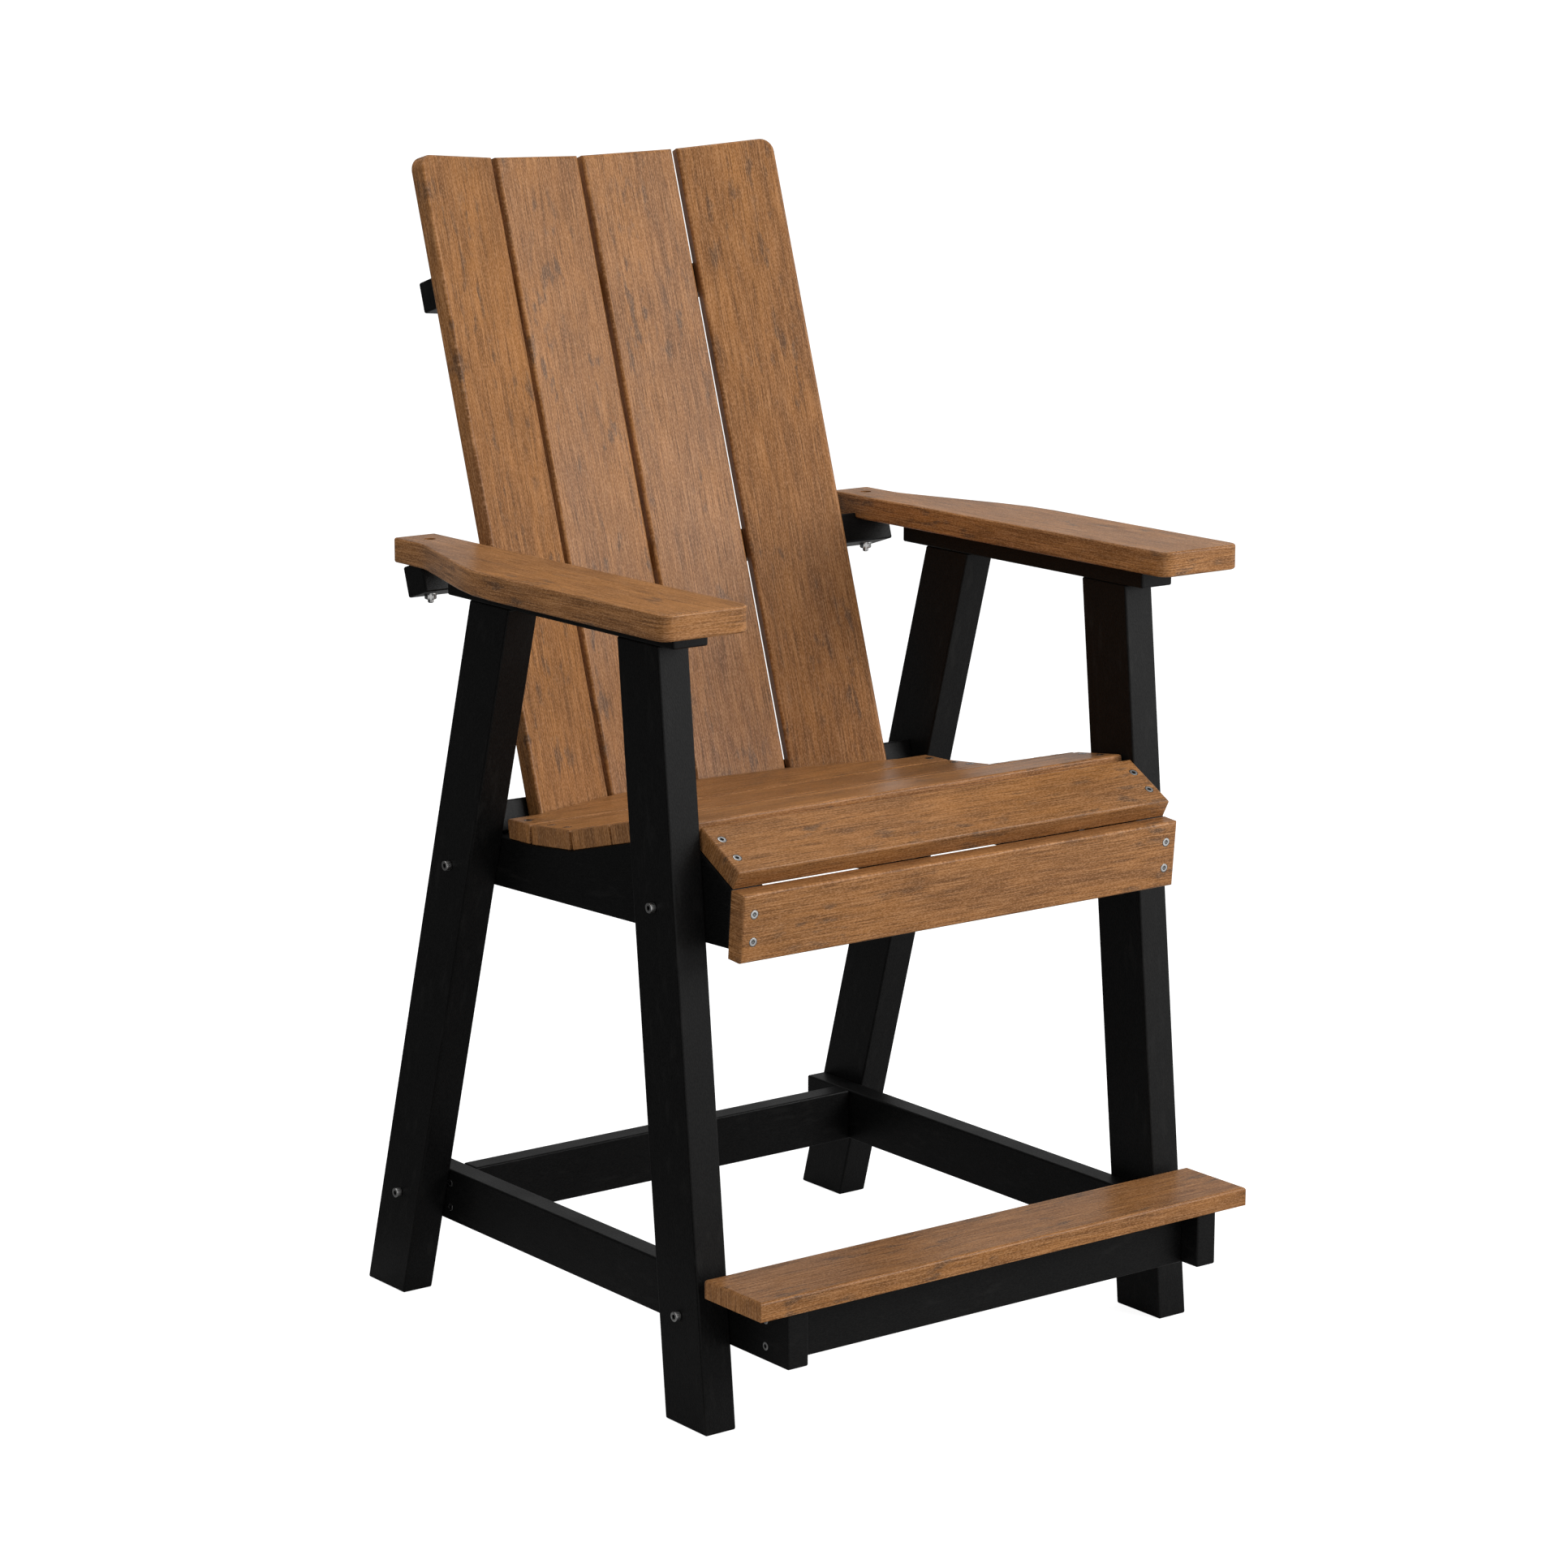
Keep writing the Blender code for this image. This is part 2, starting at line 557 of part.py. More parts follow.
def add_apron():
    """Front board across the stringers' noses."""
    length = 2 * (LEG_INNER_X - FIT)
    outward = Vector((-math.cos(APRON_TILT), -math.sin(APRON_TILT)))
    y, z = APRON_TOP + APRON_DOWN * APRON_WIDTH / 2 + outward * SEAT_SLAT_THICKNESS / 2
    mesh = box_mesh("seat_apron", (length, SEAT_SLAT_THICKNESS, APRON_WIDTH))
    add_part("seat_apron", mesh, BROWN, Matrix.Rotation(APRON_TILT, 3, "X"), (0, y, z), ease=SLAT_EASE)


# Back

def add_back_frame():
    """Empty at the foot of the back, leaning with it."""
    frame = bpy.data.objects.new("back_frame", None)
    frame.matrix_local = Matrix.Translation((0, BACK_FOOT_Y, BACK_FOOT_Z)) @ BACK_TURN.to_4x4()
    PARTS.objects.link(frame)
    return frame


def add_back_slats(frame):
    """Slats side by side, each turned in from its neighbour; the outer two have a rounded top corner."""
    upright = Matrix.Rotation(math.pi / 2, 3, "X")
    for index in range(SLAT_COUNT):
        side = 1 if index >= SLAT_COUNT // 2 else -1
        place = index - SLAT_COUNT // 2 if side > 0 else SLAT_COUNT // 2 - 1 - index
        corner, turn = SLAT_PLAN[place]
        outermost = place == SLAT_COUNT // 2 - 1
        outline = mirrored(rounded_outline([
            ((0, 0), 0),
            ((SLAT_WIDTH, 0), 0),
            ((SLAT_WIDTH, SLAT_LENGTH), SLAT_TOP_CORNER if outermost else 0),
            ((0, SLAT_LENGTH), 0),
        ]), side)
        back = Vector((math.sin(turn), math.cos(turn))) * SLAT_THICKNESS / 2
        u, w = corner + back
        name = "back_slat_%d" % (index + 1)
        mesh = board_mesh(name, outline, SLAT_THICKNESS)
        add_part(name, mesh, BROWN, Matrix.Rotation(-side * turn, 3, "Z") @ upright, (side * u, w, 0), frame,
                 SLAT_EASE)


def brace_outline(reach):
    """Plan of a brace: flats for the slats in front, wings out to its reach, and an arc behind."""
    flats = [crossing(behind_slat(SLAT_PLAN[0]), MIDDLE_LINE)]
    for inner, outer in zip(SLAT_PLAN, SLAT_PLAN[1:]):
        flats.append(crossing(behind_slat(inner), behind_slat(outer)))
    end = min(reach, BRACE_SHOULDER[0])
    flats.append(crossing(behind_slat(SLAT_PLAN[-1]), (Vector((end, 0)), Vector((0, 1)))))
    half = [(point, 0) for point in flats]
    front_w = flats[-1][1]
    if reach > end:
        half += [((reach, front_w), 0), ((reach, front_w + BRACE_DEPTH), BRACE_CORNER)]
    sagitta = flats[0][1] - front_w
    radius = (end ** 2 + sagitta ** 2) / (2 * sagitta)
    centre_w = front_w + BRACE_DEPTH + sagitta - radius
    swing = math.asin(end / radius)
    for step in range(BRACE_ARC_STEPS // 2):
        angle = swing * (1 - 2 * step / BRACE_ARC_STEPS)
        corner = BRACE_CORNER if step == 0 and reach == end else 0
        half.append(((radius * math.sin(angle), centre_w + radius * math.cos(angle)), corner))
    right = [((p[0], p[1]), r) for p, r in half]
    left = [((-p[0], p[1]), r) for p, r in reversed(half[1:])]
    return rounded_outline([*right, ((0, centre_w + radius), 0), *left])


def add_brace(name, frame, reach, low):
    """Curved brace behind the slats, square to the back, its lower face at a height up the back."""
    mesh = board_mesh(name, brace_outline(reach), BRACE_THICKNESS)
    return add_part(name, mesh, BLACK, place=(0, 0, low + BRACE_THICKNESS / 2), parent=frame, ease=BOARD_EASE)


def add_braces(frame):
    """Upper brace, arm-level brace notched for the arms, and lower brace between the rear legs."""
    upper_low = SLAT_LENGTH - UPPER_BRACE_DROP - BRACE_THICKNESS
    add_brace("back_brace_upper", frame, BRACE_SHOULDER[0] - UPPER_BRACE_INSET, upper_low)
    add_brace("back_brace_lower", frame, LEG_INNER_X - FIT, 0)
    arm_brace = add_brace("back_brace_arm", frame, ARM_BRACE_REACH, ARM_BRACE_TOP - BRACE_THICKNESS)
    shoulder = ARM_INNER_X - ARM_NOTCH_GAP
    length = ARM_BRACE_REACH - shoulder + CUT_REACH
    size = (length, 2 * BRACE_DEPTH, BRACE_THICKNESS)
    washer_rim = WASHER_DIAMETER + 2 * SPOT_FACE_GAP
    for word, side in SIDES:
        place = (side * (shoulder + length / 2), ARM_BOLT_Y, ARM_UNDERSIDE - FIT + BRACE_THICKNESS / 2)
        cut(arm_brace, "arm_notch_" + word, box_mesh("arm_notch", size), place=place)
        spot = (side * ARM_BOLT_X, ARM_BOLT_Y, SPOT_FACE_Z - BRACE_THICKNESS / 2)
        cut(arm_brace, "spot_face_" + word, round_mesh("spot_face", washer_rim, BRACE_THICKNESS), place=spot)
        hole = round_mesh("hole", HOLE_DIAMETER, 4 * BRACE_THICKNESS)
        cut(arm_brace, "arm_bolt_hole_" + word, hole, place=(side * ARM_BOLT_X, ARM_BOLT_Y, SPOT_FACE_Z))


def spot_face_height():
    """Height of the level spot face under the arm-level brace, just clearing its sloped underside."""
    rim = WASHER_DIAMETER / 2 + SPOT_FACE_GAP
    edge = back_to_world(0, BRACE_SHOULDER[1], ARM_BRACE_TOP - BRACE_THICKNESS)
    return edge[2] - (ARM_BOLT_Y - rim - edge[1]) * math.tan(BACK_LEAN)


SPOT_FACE_Z = spot_face_height()

# Arms
RAIL_FRONT_Y = front_leg_y(LEG_HEIGHT) - leg_half(FRONT_LEG_RAKE) - RAIL_NOSE
RAIL_REAR_Y = rear_leg_y(LEG_HEIGHT) + leg_half(REAR_LEG_RAKE) + RAIL_TAIL
ARM_TOP = ARM_UNDERSIDE + ARM_THICKNESS
ARM_HEAD_Z = ARM_TOP - HEAD_RECESS_COVER - BOLT_HEAD_HEIGHT      # underside of the arm bolt's head


def add_arm_rails():
    """Flat boards on the leg tops, under the arms."""
    size = (RAIL_WIDTH, RAIL_REAR_Y - RAIL_FRONT_Y, RAIL_THICKNESS)
    for word, side in SIDES:
        name = "arm_rail_" + word
        place = (side * LEG_CENTRE_X, (RAIL_FRONT_Y + RAIL_REAR_Y) / 2, LEG_HEIGHT + FIT + RAIL_THICKNESS / 2)
        add_part(name, box_mesh(name, size), BLACK, place=place, ease=BOARD_EASE)


def add_arms():
    """Paddle-shaped arms: narrow at the brace, flared outward to a wide front with a rounded outer corner."""
    front_y = RAIL_FRONT_Y - ARM_NOSE
    rear_y = ARM_BOLT_Y + ARM_TAIL
    flare_y = rear_y - ARM_FLARE_START
    wide_x = ARM_INNER_X + ARM_FRONT_WIDTH
    narrow_x = ARM_INNER_X + ARM_REAR_WIDTH
    outline = rounded_outline([
        ((ARM_INNER_X, rear_y), ARM_CORNER),
        ((ARM_INNER_X, front_y), ARM_CORNER),
        ((wide_x, front_y), ARM_OUTER_CORNER),
        ((wide_x, flare_y - ARM_FLARE_LENGTH), ARM_FLARE_FRONT_RADIUS),
        ((narrow_x, flare_y), ARM_FLARE_REAR_RADIUS),
        ((narrow_x, rear_y), ARM_CORNER),
    ])
    recess = BOLT_HEAD_DIAMETER + 2 * HEAD_RECESS_GAP
    for word, side in SIDES:
        name = "arm_" + word
        mesh = board_mesh(name, mirrored(outline, side), ARM_THICKNESS)
        arm = add_part(name, mesh, BROWN, place=(0, 0, ARM_UNDERSIDE + ARM_THICKNESS / 2), ease=ARM_EASE)
        bolt = (side * ARM_BOLT_X, ARM_BOLT_Y)
        hole = round_mesh("hole", HOLE_DIAMETER, 4 * ARM_THICKNESS)
        cut(arm, name + "_hole", hole, place=(*bolt, ARM_UNDERSIDE))
        recess_z = ARM_HEAD_Z - FIT + ARM_THICKNESS / 2
        cut(arm, name + "_recess", round_mesh("recess", recess, ARM_THICKNESS), place=(*bolt, recess_z))


# Fasteners

def add_bolt(name, length, turn, place):
    """Socket-head bolt: a turned head and shank along -Z from the head's underside, with a hex socket."""
    head = BOLT_HEAD_DIAMETER / 2
    shank = BOLT_DIAMETER / 2
    profile = [(0, BOLT_HEAD_HEIGHT), (head, BOLT_HEAD_HEIGHT), (head, 0),
               (shank, 0), (shank, -length), (0, -length)]
    mesh = turned_mesh(name, profile)
    bolt = add_part(name, mesh, STEEL, turn, place)
    socket = round_mesh("socket", BOLT_SOCKET_WIDTH / math.cos(math.pi / 6), 2 * BOLT_SOCKET_DEPTH, 6)
    top = Vector(place) + turn @ Vector((0, 0, BOLT_HEAD_HEIGHT))
    cut(bolt, name + "_socket", socket, turn, top)


def add_ring(name, mesh, height, turn, place):
    """Nut or washer: a flat piece bored for the bolt."""
    ring = add_part(name, mesh, STEEL, turn, place)
    cut(ring, name + "_bore", round_mesh("bore", HOLE_DIAMETER, 2 * height), turn, place)


def nut_mesh(name):
    """Hexagon prism, as wide across its flats as the nut."""
    return round_mesh(name, NUT_WIDTH / math.cos(math.pi / 6), NUT_HEIGHT, 6)


def add_leg_bolts():
    """Through bolts: head on the leg's outer face, nut on the inner face of the board behind it."""
    for mark, (y, z, board) in LEG_BOLTS.items():
        grip = FIT + LEG_THICKNESS + FIT + board + FIT
        for word, side in SIDES:
            turn = Matrix.Rotation(side * math.pi / 2, 3, "Y")
            head_x = side * (LEG_SPREAD / 2 + FIT)
            nut_x = side * (LEG_SPREAD / 2 + FIT - grip - NUT_HEIGHT / 2)
            add_bolt("leg_bolt_%s_%s" % (mark, word), grip + NUT_HEIGHT + BOLT_POINT, turn, (head_x, y, z))
            name = "leg_nut_%s_%s" % (mark, word)
            add_ring(name, nut_mesh(name), NUT_HEIGHT, turn, (nut_x, y, z))


def add_arm_bolts():
    """Bolts down through the arms and the arm-level brace, with a washer and nut on the spot face."""
    washer_z = SPOT_FACE_Z - FIT - WASHER_THICKNESS / 2
    nut_z = washer_z - WASHER_THICKNESS / 2 - FIT - NUT_HEIGHT / 2
    length = ARM_HEAD_Z - nut_z + NUT_HEIGHT / 2 + BOLT_POINT
    for word, side in SIDES:
        bolt = (side * ARM_BOLT_X, ARM_BOLT_Y)
        add_bolt("arm_bolt_" + word, length, PLAN_VIEW, (*bolt, ARM_HEAD_Z))
        name = "arm_washer_" + word
        add_ring(name, round_mesh(name, WASHER_DIAMETER, WASHER_THICKNESS), WASHER_THICKNESS, PLAN_VIEW,
                 (*bolt, washer_z))
        name = "arm_nut_" + word
        add_ring(name, nut_mesh(name), NUT_HEIGHT, PLAN_VIEW, (*bolt, nut_z))


add_legs()
add_side_stretchers()
add_cross_stretchers()
add_footrest()
add_side_stringers()
add_centre_stringer()
add_seat_slats()
add_apron()
BACK_FRAME = add_back_frame()
add_back_slats(BACK_FRAME)
add_braces(BACK_FRAME)
add_arm_rails()
add_arms()
add_leg_bolts()
add_arm_bolts()
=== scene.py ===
"""Looks of the counter chair: wood-grained plastic boards, black frame boards and stainless fasteners.

Metres, +Z up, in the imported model's frame. The sitter faces -Y, and left is -X, as seen from the front.
A board is one closed surface: an eased edge profile carried round the board's outline. A fastener is a
profile turned about its axis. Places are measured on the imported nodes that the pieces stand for.
"""
import itertools
import math

import bpy
import numpy as np
from mathutils import Matrix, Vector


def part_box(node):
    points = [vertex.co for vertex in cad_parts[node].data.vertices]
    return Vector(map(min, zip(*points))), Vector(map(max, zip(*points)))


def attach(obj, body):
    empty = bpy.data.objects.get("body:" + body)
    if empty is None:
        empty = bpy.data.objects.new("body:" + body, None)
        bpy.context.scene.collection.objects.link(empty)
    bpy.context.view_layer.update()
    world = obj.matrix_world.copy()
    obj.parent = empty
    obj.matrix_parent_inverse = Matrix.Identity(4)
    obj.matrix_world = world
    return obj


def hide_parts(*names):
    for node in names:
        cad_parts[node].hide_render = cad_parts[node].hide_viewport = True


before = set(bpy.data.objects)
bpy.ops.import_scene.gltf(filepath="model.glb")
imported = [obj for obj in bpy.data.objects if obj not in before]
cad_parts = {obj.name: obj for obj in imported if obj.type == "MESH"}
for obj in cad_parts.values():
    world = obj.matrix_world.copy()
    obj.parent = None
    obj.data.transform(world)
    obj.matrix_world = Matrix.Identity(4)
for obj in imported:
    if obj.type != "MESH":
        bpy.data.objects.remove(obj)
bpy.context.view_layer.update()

# Names of imported nodes, and the chair's two sides
SIDES = (("left", -1), ("right", 1))
BACK_SLATS = ("back_slat_1", "back_slat_2", "back_slat_3", "back_slat_4")
BACK_BRACES = ("back_brace_upper", "back_brace_arm", "back_brace_lower")
SEAT_SLATS = ("seat_slat_1", "seat_slat_2", "seat_slat_3", "seat_slat_4", "seat_slat_5", "seat_front_slat")
CROSS_STRETCHERS = ("cross_stretcher_rear", "cross_stretcher_footrest")

# Boards
FIT = 0.0003  # gap between boards that touch
EASE_STEPS = 5
ARC_STEP = math.radians(9)
SAWN_EDGE = 0.0007  # edges left as sawn
BLACK_EASES = (0.0022, 0.0022)  # lower or rear face, then upper or show face
SLAT_EASES = (SAWN_EDGE, 0.0030)
BACK_EASES = (0.0038, 0.0034)
FOOTREST_EASES = (SAWN_EDGE, 0.0032)
ARM_EASES = (0.0026, 0.0026)
MITRE = 0.00001  # least radius left where an inset corner comes to a mitre
END_FACE_ANGLE = math.radians(50)  # a face whose normal is nearer the grain than this is an end
GRAIN_STEP = np.array([1.731, 0.413])  # from one board's grain map to the next one's
BOARD_NUMBERS = itertools.count(1)

# Angles of the frame
FRONT_LEG_RAKE = math.radians(5.55)
REAR_LEG_RAKE = math.radians(-15.9)
SEAT_TILTS = tuple(math.radians(a) for a in (1.5, 5.6, 14.6, 14.6, 7.2, -28.6))
APRON_TILT = math.radians(4.8)
BACK_LEAN = math.radians(17.6)
SLAT_TURNS = tuple(math.radians(a) for a in (-16.2, -5.4, 5.4, 16.2))

# Shaped boards
SLAT_TOP_CORNER = 0.0160
SEAT_TRIM = 0.0008  # off the edges where seat slats meet
SCRIBE_GAP = 0.0040  # rear seat slat to the back slats' faces
SCRIBE_BEND = 0.0300  # rounding where the rear seat slat's cut changes direction
SLAT_TRIM = 0.0003  # off the back slats' tops
STRINGER_TAIL_DEPTH = 0.0535
STRINGER_NOSE_DEPTH = 0.0605
CENTRE_STRINGER_NOSE_DEPTH = 0.0675
STRINGER_BEND = 0.0400  # rounding along a stringer's dished top
BRACE_CORNER = 0.0050
BRACE_BEND = 0.0300  # rounding where a brace's flats meet
BRACE_ARC_POINTS = 13  # on half of a brace's round back
ARM_REAR_WIDTH = 0.0515
ARM_FLARE_START = 0.0575
ARM_FLARE_LENGTH = 0.1700
ARM_FLARE_REAR_RADIUS = 0.0800
ARM_FLARE_FRONT_RADIUS = 0.2500
ARM_FRONT_CORNER = 0.0135
ARM_CORNER = 0.0035
SHADED_BOARDS = {"seat_front_slat": 0.27}  # boards given painted shade, and by what share

# Fasteners
ROUND_STEPS = 48
ROUND = np.arange(ROUND_STEPS) * 2 * math.pi / ROUND_STEPS
SHARP_ANGLE = math.radians(32)
BOLT_HEAD_RADIUS = 0.0053
BOLT_HEAD_HEIGHT = 0.0062
BOLT_HEAD_ROUND = 0.0008  # of the head's top edge
BOLT_HEAD_TIP = 0.00025  # that round's middle, in from the corner
BOLT_EDGE = 0.0003  # chamfers under the head and in the socket's mouth
BOLT_SHANK_RADIUS = 0.0032
BOLT_POINT = 0.0010  # length of the chamfered point
BOLT_POINT_SHARE = 0.7  # its end's radius as a share of the shank's
BOLT_SOCKET_FLAT = 0.0024  # half of the socket's width across flats
BOLT_SOCKET_MOUTH = 1.25 * BOLT_SOCKET_FLAT
BOLT_SOCKET_DEPTH = 0.0032
NUT_FLAT = 0.00555  # half of the nut's width across flats
NUT_CHAMFER = 0.0007
WASHER_RIM = 0.0002
RECESS_RADIUS = 0.0061
RECESS_RIM = 0.0005
SCREW_RADIUS = 0.0043
SCREW_SQUARE = 0.00165  # half of the square recess
SCREW_RISE = 0.00025  # head above the board's face
SCREW_DEPTH = 0.0065
SCREW_LIP = 0.0001  # rim of the screw's hole below the board's face
SCREW_END_INSET = 0.0121  # seat screws in from the slats' ends
APRON_SCREW_INSET = 0.0141
SCREW_SHARES = (0.30, 0.70)  # screw rows across a board
REAR_SLAT_SCREW_SHARES = (0.50,)
STRETCHER_SCREW_RISE = 0.0135  # screws above and below a stretcher's middle
SLAT_SCREW_SPREAD = 0.0280  # brace screws each side of a slat's middle
APRON_SCREW_SHADE = 0.55  # less painted shade inside the apron's screws, whose recesses face the key softbox

# Finishes
GRAIN_WANDER = ((6, 16, 1), 2.0, 0.5)  # stretch, detail and roughness of the noise that sways the grain
GRAIN_SWAY = 0.004
GRAIN_NOISES = {  # stretch, detail, roughness and place of each noise
    "Fleck": ((400, 1300, 1), 0.0, 0.5, (0, 0, 23.7)),
    "Fibre": ((18, 760, 1), 1.0, 0.55, (0, 0, 0)),
    "Streak": ((11, 110, 1), 2.0, 0.5, (0, 0, 3.1)),
    "Patch": ((6, 24, 1), 2.0, 0.5, (0, 0, 7.7)),
    "Spot": ((28, 95, 1), 3.0, 0.62, (0, 0, 11.9)),
    "Cluster": ((9, 22, 1), 1.0, 0.5, (0, 0, 17.3)),
}
SMUDGE_SPOT = (0.53, 0.72)  # a smudge is a spot where spots cluster
SMUDGE_CLUSTER = (0.46, 0.62)
RELIEF_SHARES = (0.15, 0.85)  # of flecks and of fibres
HANDLING_BLOTCH = ((14, 14, 14), 2.0, 0.5)
HANDLING_SPECK = ((420, 420, 420), 1.0, 0.5, (5.3, 0, 0))
HANDLING_SHARES = (0.65, 0.35)
BROWN_PATCHES = ((0.30, 0.70), (0.241, 0.105, 0.0365), (0.404, 0.176, 0.0525))
BROWN_MARKS = (  # mark, where it starts and where it is full, its share, its colour
    ("Streak", 0.48, 0.26, 0.70, (0.180, 0.080, 0.029)),
    ("Streak", 0.52, 0.74, 0.66, (0.458, 0.203, 0.067)),
    ("Smudge", 0.00, 0.50, 0.84, (0.105, 0.064, 0.040)),
    ("Fibre", 0.50, 0.30, 0.84, (0.141, 0.0615, 0.0225)),
    ("Fibre", 0.52, 0.72, 0.72, (0.515, 0.256, 0.108)),
    ("Fleck", 0.50, 0.26, 0.42, (0.110, 0.039, 0.009)),
    ("Fleck", 0.52, 0.76, 0.44, (0.565, 0.303, 0.152)),
)
BROWN_SHADE = (0.50, 0.48, 0.42)  # a shaded board's colour is multiplied by this, by its share, as painted shade
BROWN_SPECULAR = 0.155
BROWN_RELIEF = (0.30, 0.0003)  # strength and distance of the bump
BLACK_FLECKS = ((0.30, 0.75), (0.0034, 0.0034, 0.0035), (0.0082, 0.0081, 0.0079))
BLACK_SMUDGES = (0.0, 0.6, 0.0, 0.6)
BLACK_SMUDGE_COLOUR = (0.0125, 0.0122, 0.0118)
BLACK_SPECULAR = 0.115
BLACK_RELIEF = (0.30, 0.0004)
STEEL_POLISH = ((0.35, 0.65), (0.40, 0.398, 0.392), (0.52, 0.517, 0.510))
# painted shade in the fasteners' recesses and round the screws' holes
PAINTED_SHADE_COLOUR = (0.012, 0.012, 0.012)
SHEEN_RANGE = (0.3, 0.7)  # reach of the handling and fibre noises
BROWN_ROUGHNESS = (0.26, 0.34)
BROWN_FIBRE_ROUGHNESS = (0.06, -0.02)  # added
BLACK_ROUGHNESS = (0.34, 0.48)
STEEL_ROUGHNESS = (0.22, 0.34)

# Studio
FLOOR_REACH = 70
FLOOR_STEPS = 15
FLOOR_COLOUR = (0.46, 0.46, 0.46, 1)
FLOOR_GLOW = 0.90
FLOOR_SHEEN = (1.2, 2.6)  # the floor mirrors as lit near the chair, and white from here on
WORLD_LIGHT = 0.57
CARD_PROFILE = ((0.55, 0.004), (1.20, 0.004), (1.48, 0.080), (1.60, 0.400), (1.60, 2.000), (1.60, 3.600))
CARD_ARC = (-20, 215)  # degrees round from +X
CARD_STEPS = 31
CARD_LEVELS = (-0.6, 0.8, 0.10, 0.42)  # from x to x, from level to level
SOFTBOXES = (  # name, place, target, size and watts
    ("key_softbox", (1.89, -2.60, 1.86), (0, 0, 0.75), (1.8, 1.8), 71),
    ("top_softbox", (0.0, 0.5, 3.2), (0, 0, 0.60), (2.2, 2.2), 23),
)
CAMERA_PLACE = (-2.7771, -3.6853, 1.5498)
CAMERA_TURN = (77.80, -0.066, -37.032)  # degrees
CAMERA_LENS = 102.53  # mm
CAMERA_SENSOR = 36  # mm
CAMERA_SHIFT = (-0.00165, 0.01065)
CAMERA_REACH = 500

# Directions
X = np.array([1.0, 0.0, 0.0])
Y = np.array([0.0, 1.0, 0.0])
Z = np.array([0.0, 0.0, 1.0])
BACK_W = np.array([0.0, math.cos(BACK_LEAN), -math.sin(BACK_LEAN)])  # backward, square to the back
BACK_V = np.array([0.0, math.sin(BACK_LEAN), math.cos(BACK_LEAN)])  # up the back
APRON_UP = np.array([0.0, -math.sin(APRON_TILT), math.cos(APRON_TILT)])
APRON_OUT = np.cross(X, APRON_UP)


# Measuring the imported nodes

def node_points(node):
    """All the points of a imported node, one per row."""
    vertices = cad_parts[node].data.vertices
    flat = np.empty(len(vertices) * 3, np.float32)
    vertices.foreach_get("co", flat)
    return flat.reshape(-1, 3).astype(float)


def span(node, axis):
    """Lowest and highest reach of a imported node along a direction."""
    reach = node_points(node) @ axis
    return reach.min(), reach.max()


def node_middle(node):
    """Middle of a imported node's box."""
    low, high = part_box(node)
    return (np.array(low) + np.array(high)) / 2


def unit(vector):
    """Vector of length one."""
    return vector / np.linalg.norm(vector)


def crossing(first, second):
    """Crossing of two flat lines, each a point and a direction."""
    (p, d), (q, e) = first, second
    along = np.linalg.solve(np.stack([d, -e], 1), q - p)
    return p + d * along[0]


# Board surfaces

def rounded_outline(corners):
    """Closed outline, counter-clockwise, and its outward normals, from (x, y, radius) corners.

    Each corner is an arc of its radius that touches both sides: centre + radius * (cos, sin) of an angle
    swept over the corner's turn. A corner with no turn stays one point.
    """
    spots = np.array([corner[:2] for corner in corners], float)
    loop, normals = [], []
    for index, (_, _, radius) in enumerate(corners):
        spot = spots[index]
        before = unit(spots[index - 1] - spot)
        after = unit(spots[(index + 1) % len(spots)] - spot)
        turn = math.pi - math.acos(np.clip(before @ after, -1, 1))
        if turn < 1e-5:
            loop.append(spot[None])
            normals.append(np.array([[after[1], -after[0]]]))
            continue
        side = 1 if after[0] * before[1] - after[1] * before[0] > 0 else -1
        centre = spot + unit(before + after) * radius / math.cos(turn / 2)
        start = spot + before * radius * math.tan(turn / 2) - centre
        sweep = side * turn * np.linspace(0, 1, max(2, math.ceil(turn / ARC_STEP)) + 1)
        cosine, sine = np.cos(sweep), np.sin(sweep)
        arm = np.stack([cosine * start[0] - sine * start[1], sine * start[0] + cosine * start[1]], 1)
        loop.append(centre + arm)
        normals.append(side * arm / radius)
    return np.concatenate(loop), np.concatenate(normals)


def inset_corners(corners, inset):
    """Corners of the outline that runs a distance inside another one, with their radii.

    A corner between sides with outward normals n and m moves by -inset * (n + m) / (1 + n . m). An outer
    corner's radius shrinks by the inset, down to a mitre, and an inner corner's grows by it.
    """
    spots = np.array([corner[:2] for corner in corners], float)
    ahead = np.roll(spots, -1, 0) - spots
    ahead /= np.linalg.norm(ahead, axis=1, keepdims=True)
    normal = np.stack([ahead[:, 1], -ahead[:, 0]], 1)
    before = np.roll(normal, 1, 0)
    shift = (normal + before) / (1 + np.sum(normal * before, 1, keepdims=True))
    outer = before[:, 0] * normal[:, 1] - before[:, 1] * normal[:, 0] >= 0
    radius = np.array([corner[2] for corner in corners], float)
    radius = np.maximum(radius - np.where(outer, inset, -inset), MITRE)
    return np.column_stack([spots - inset * shift, radius])


def ring_quads(rings):
    """Quads between neighbouring rings of a (ring, point) index grid, closed round each ring."""
    ahead = np.roll(rings, -1, 1)
    return np.stack([rings[:-1], ahead[:-1], ahead[1:], rings[1:]], -1).reshape(-1, 4)


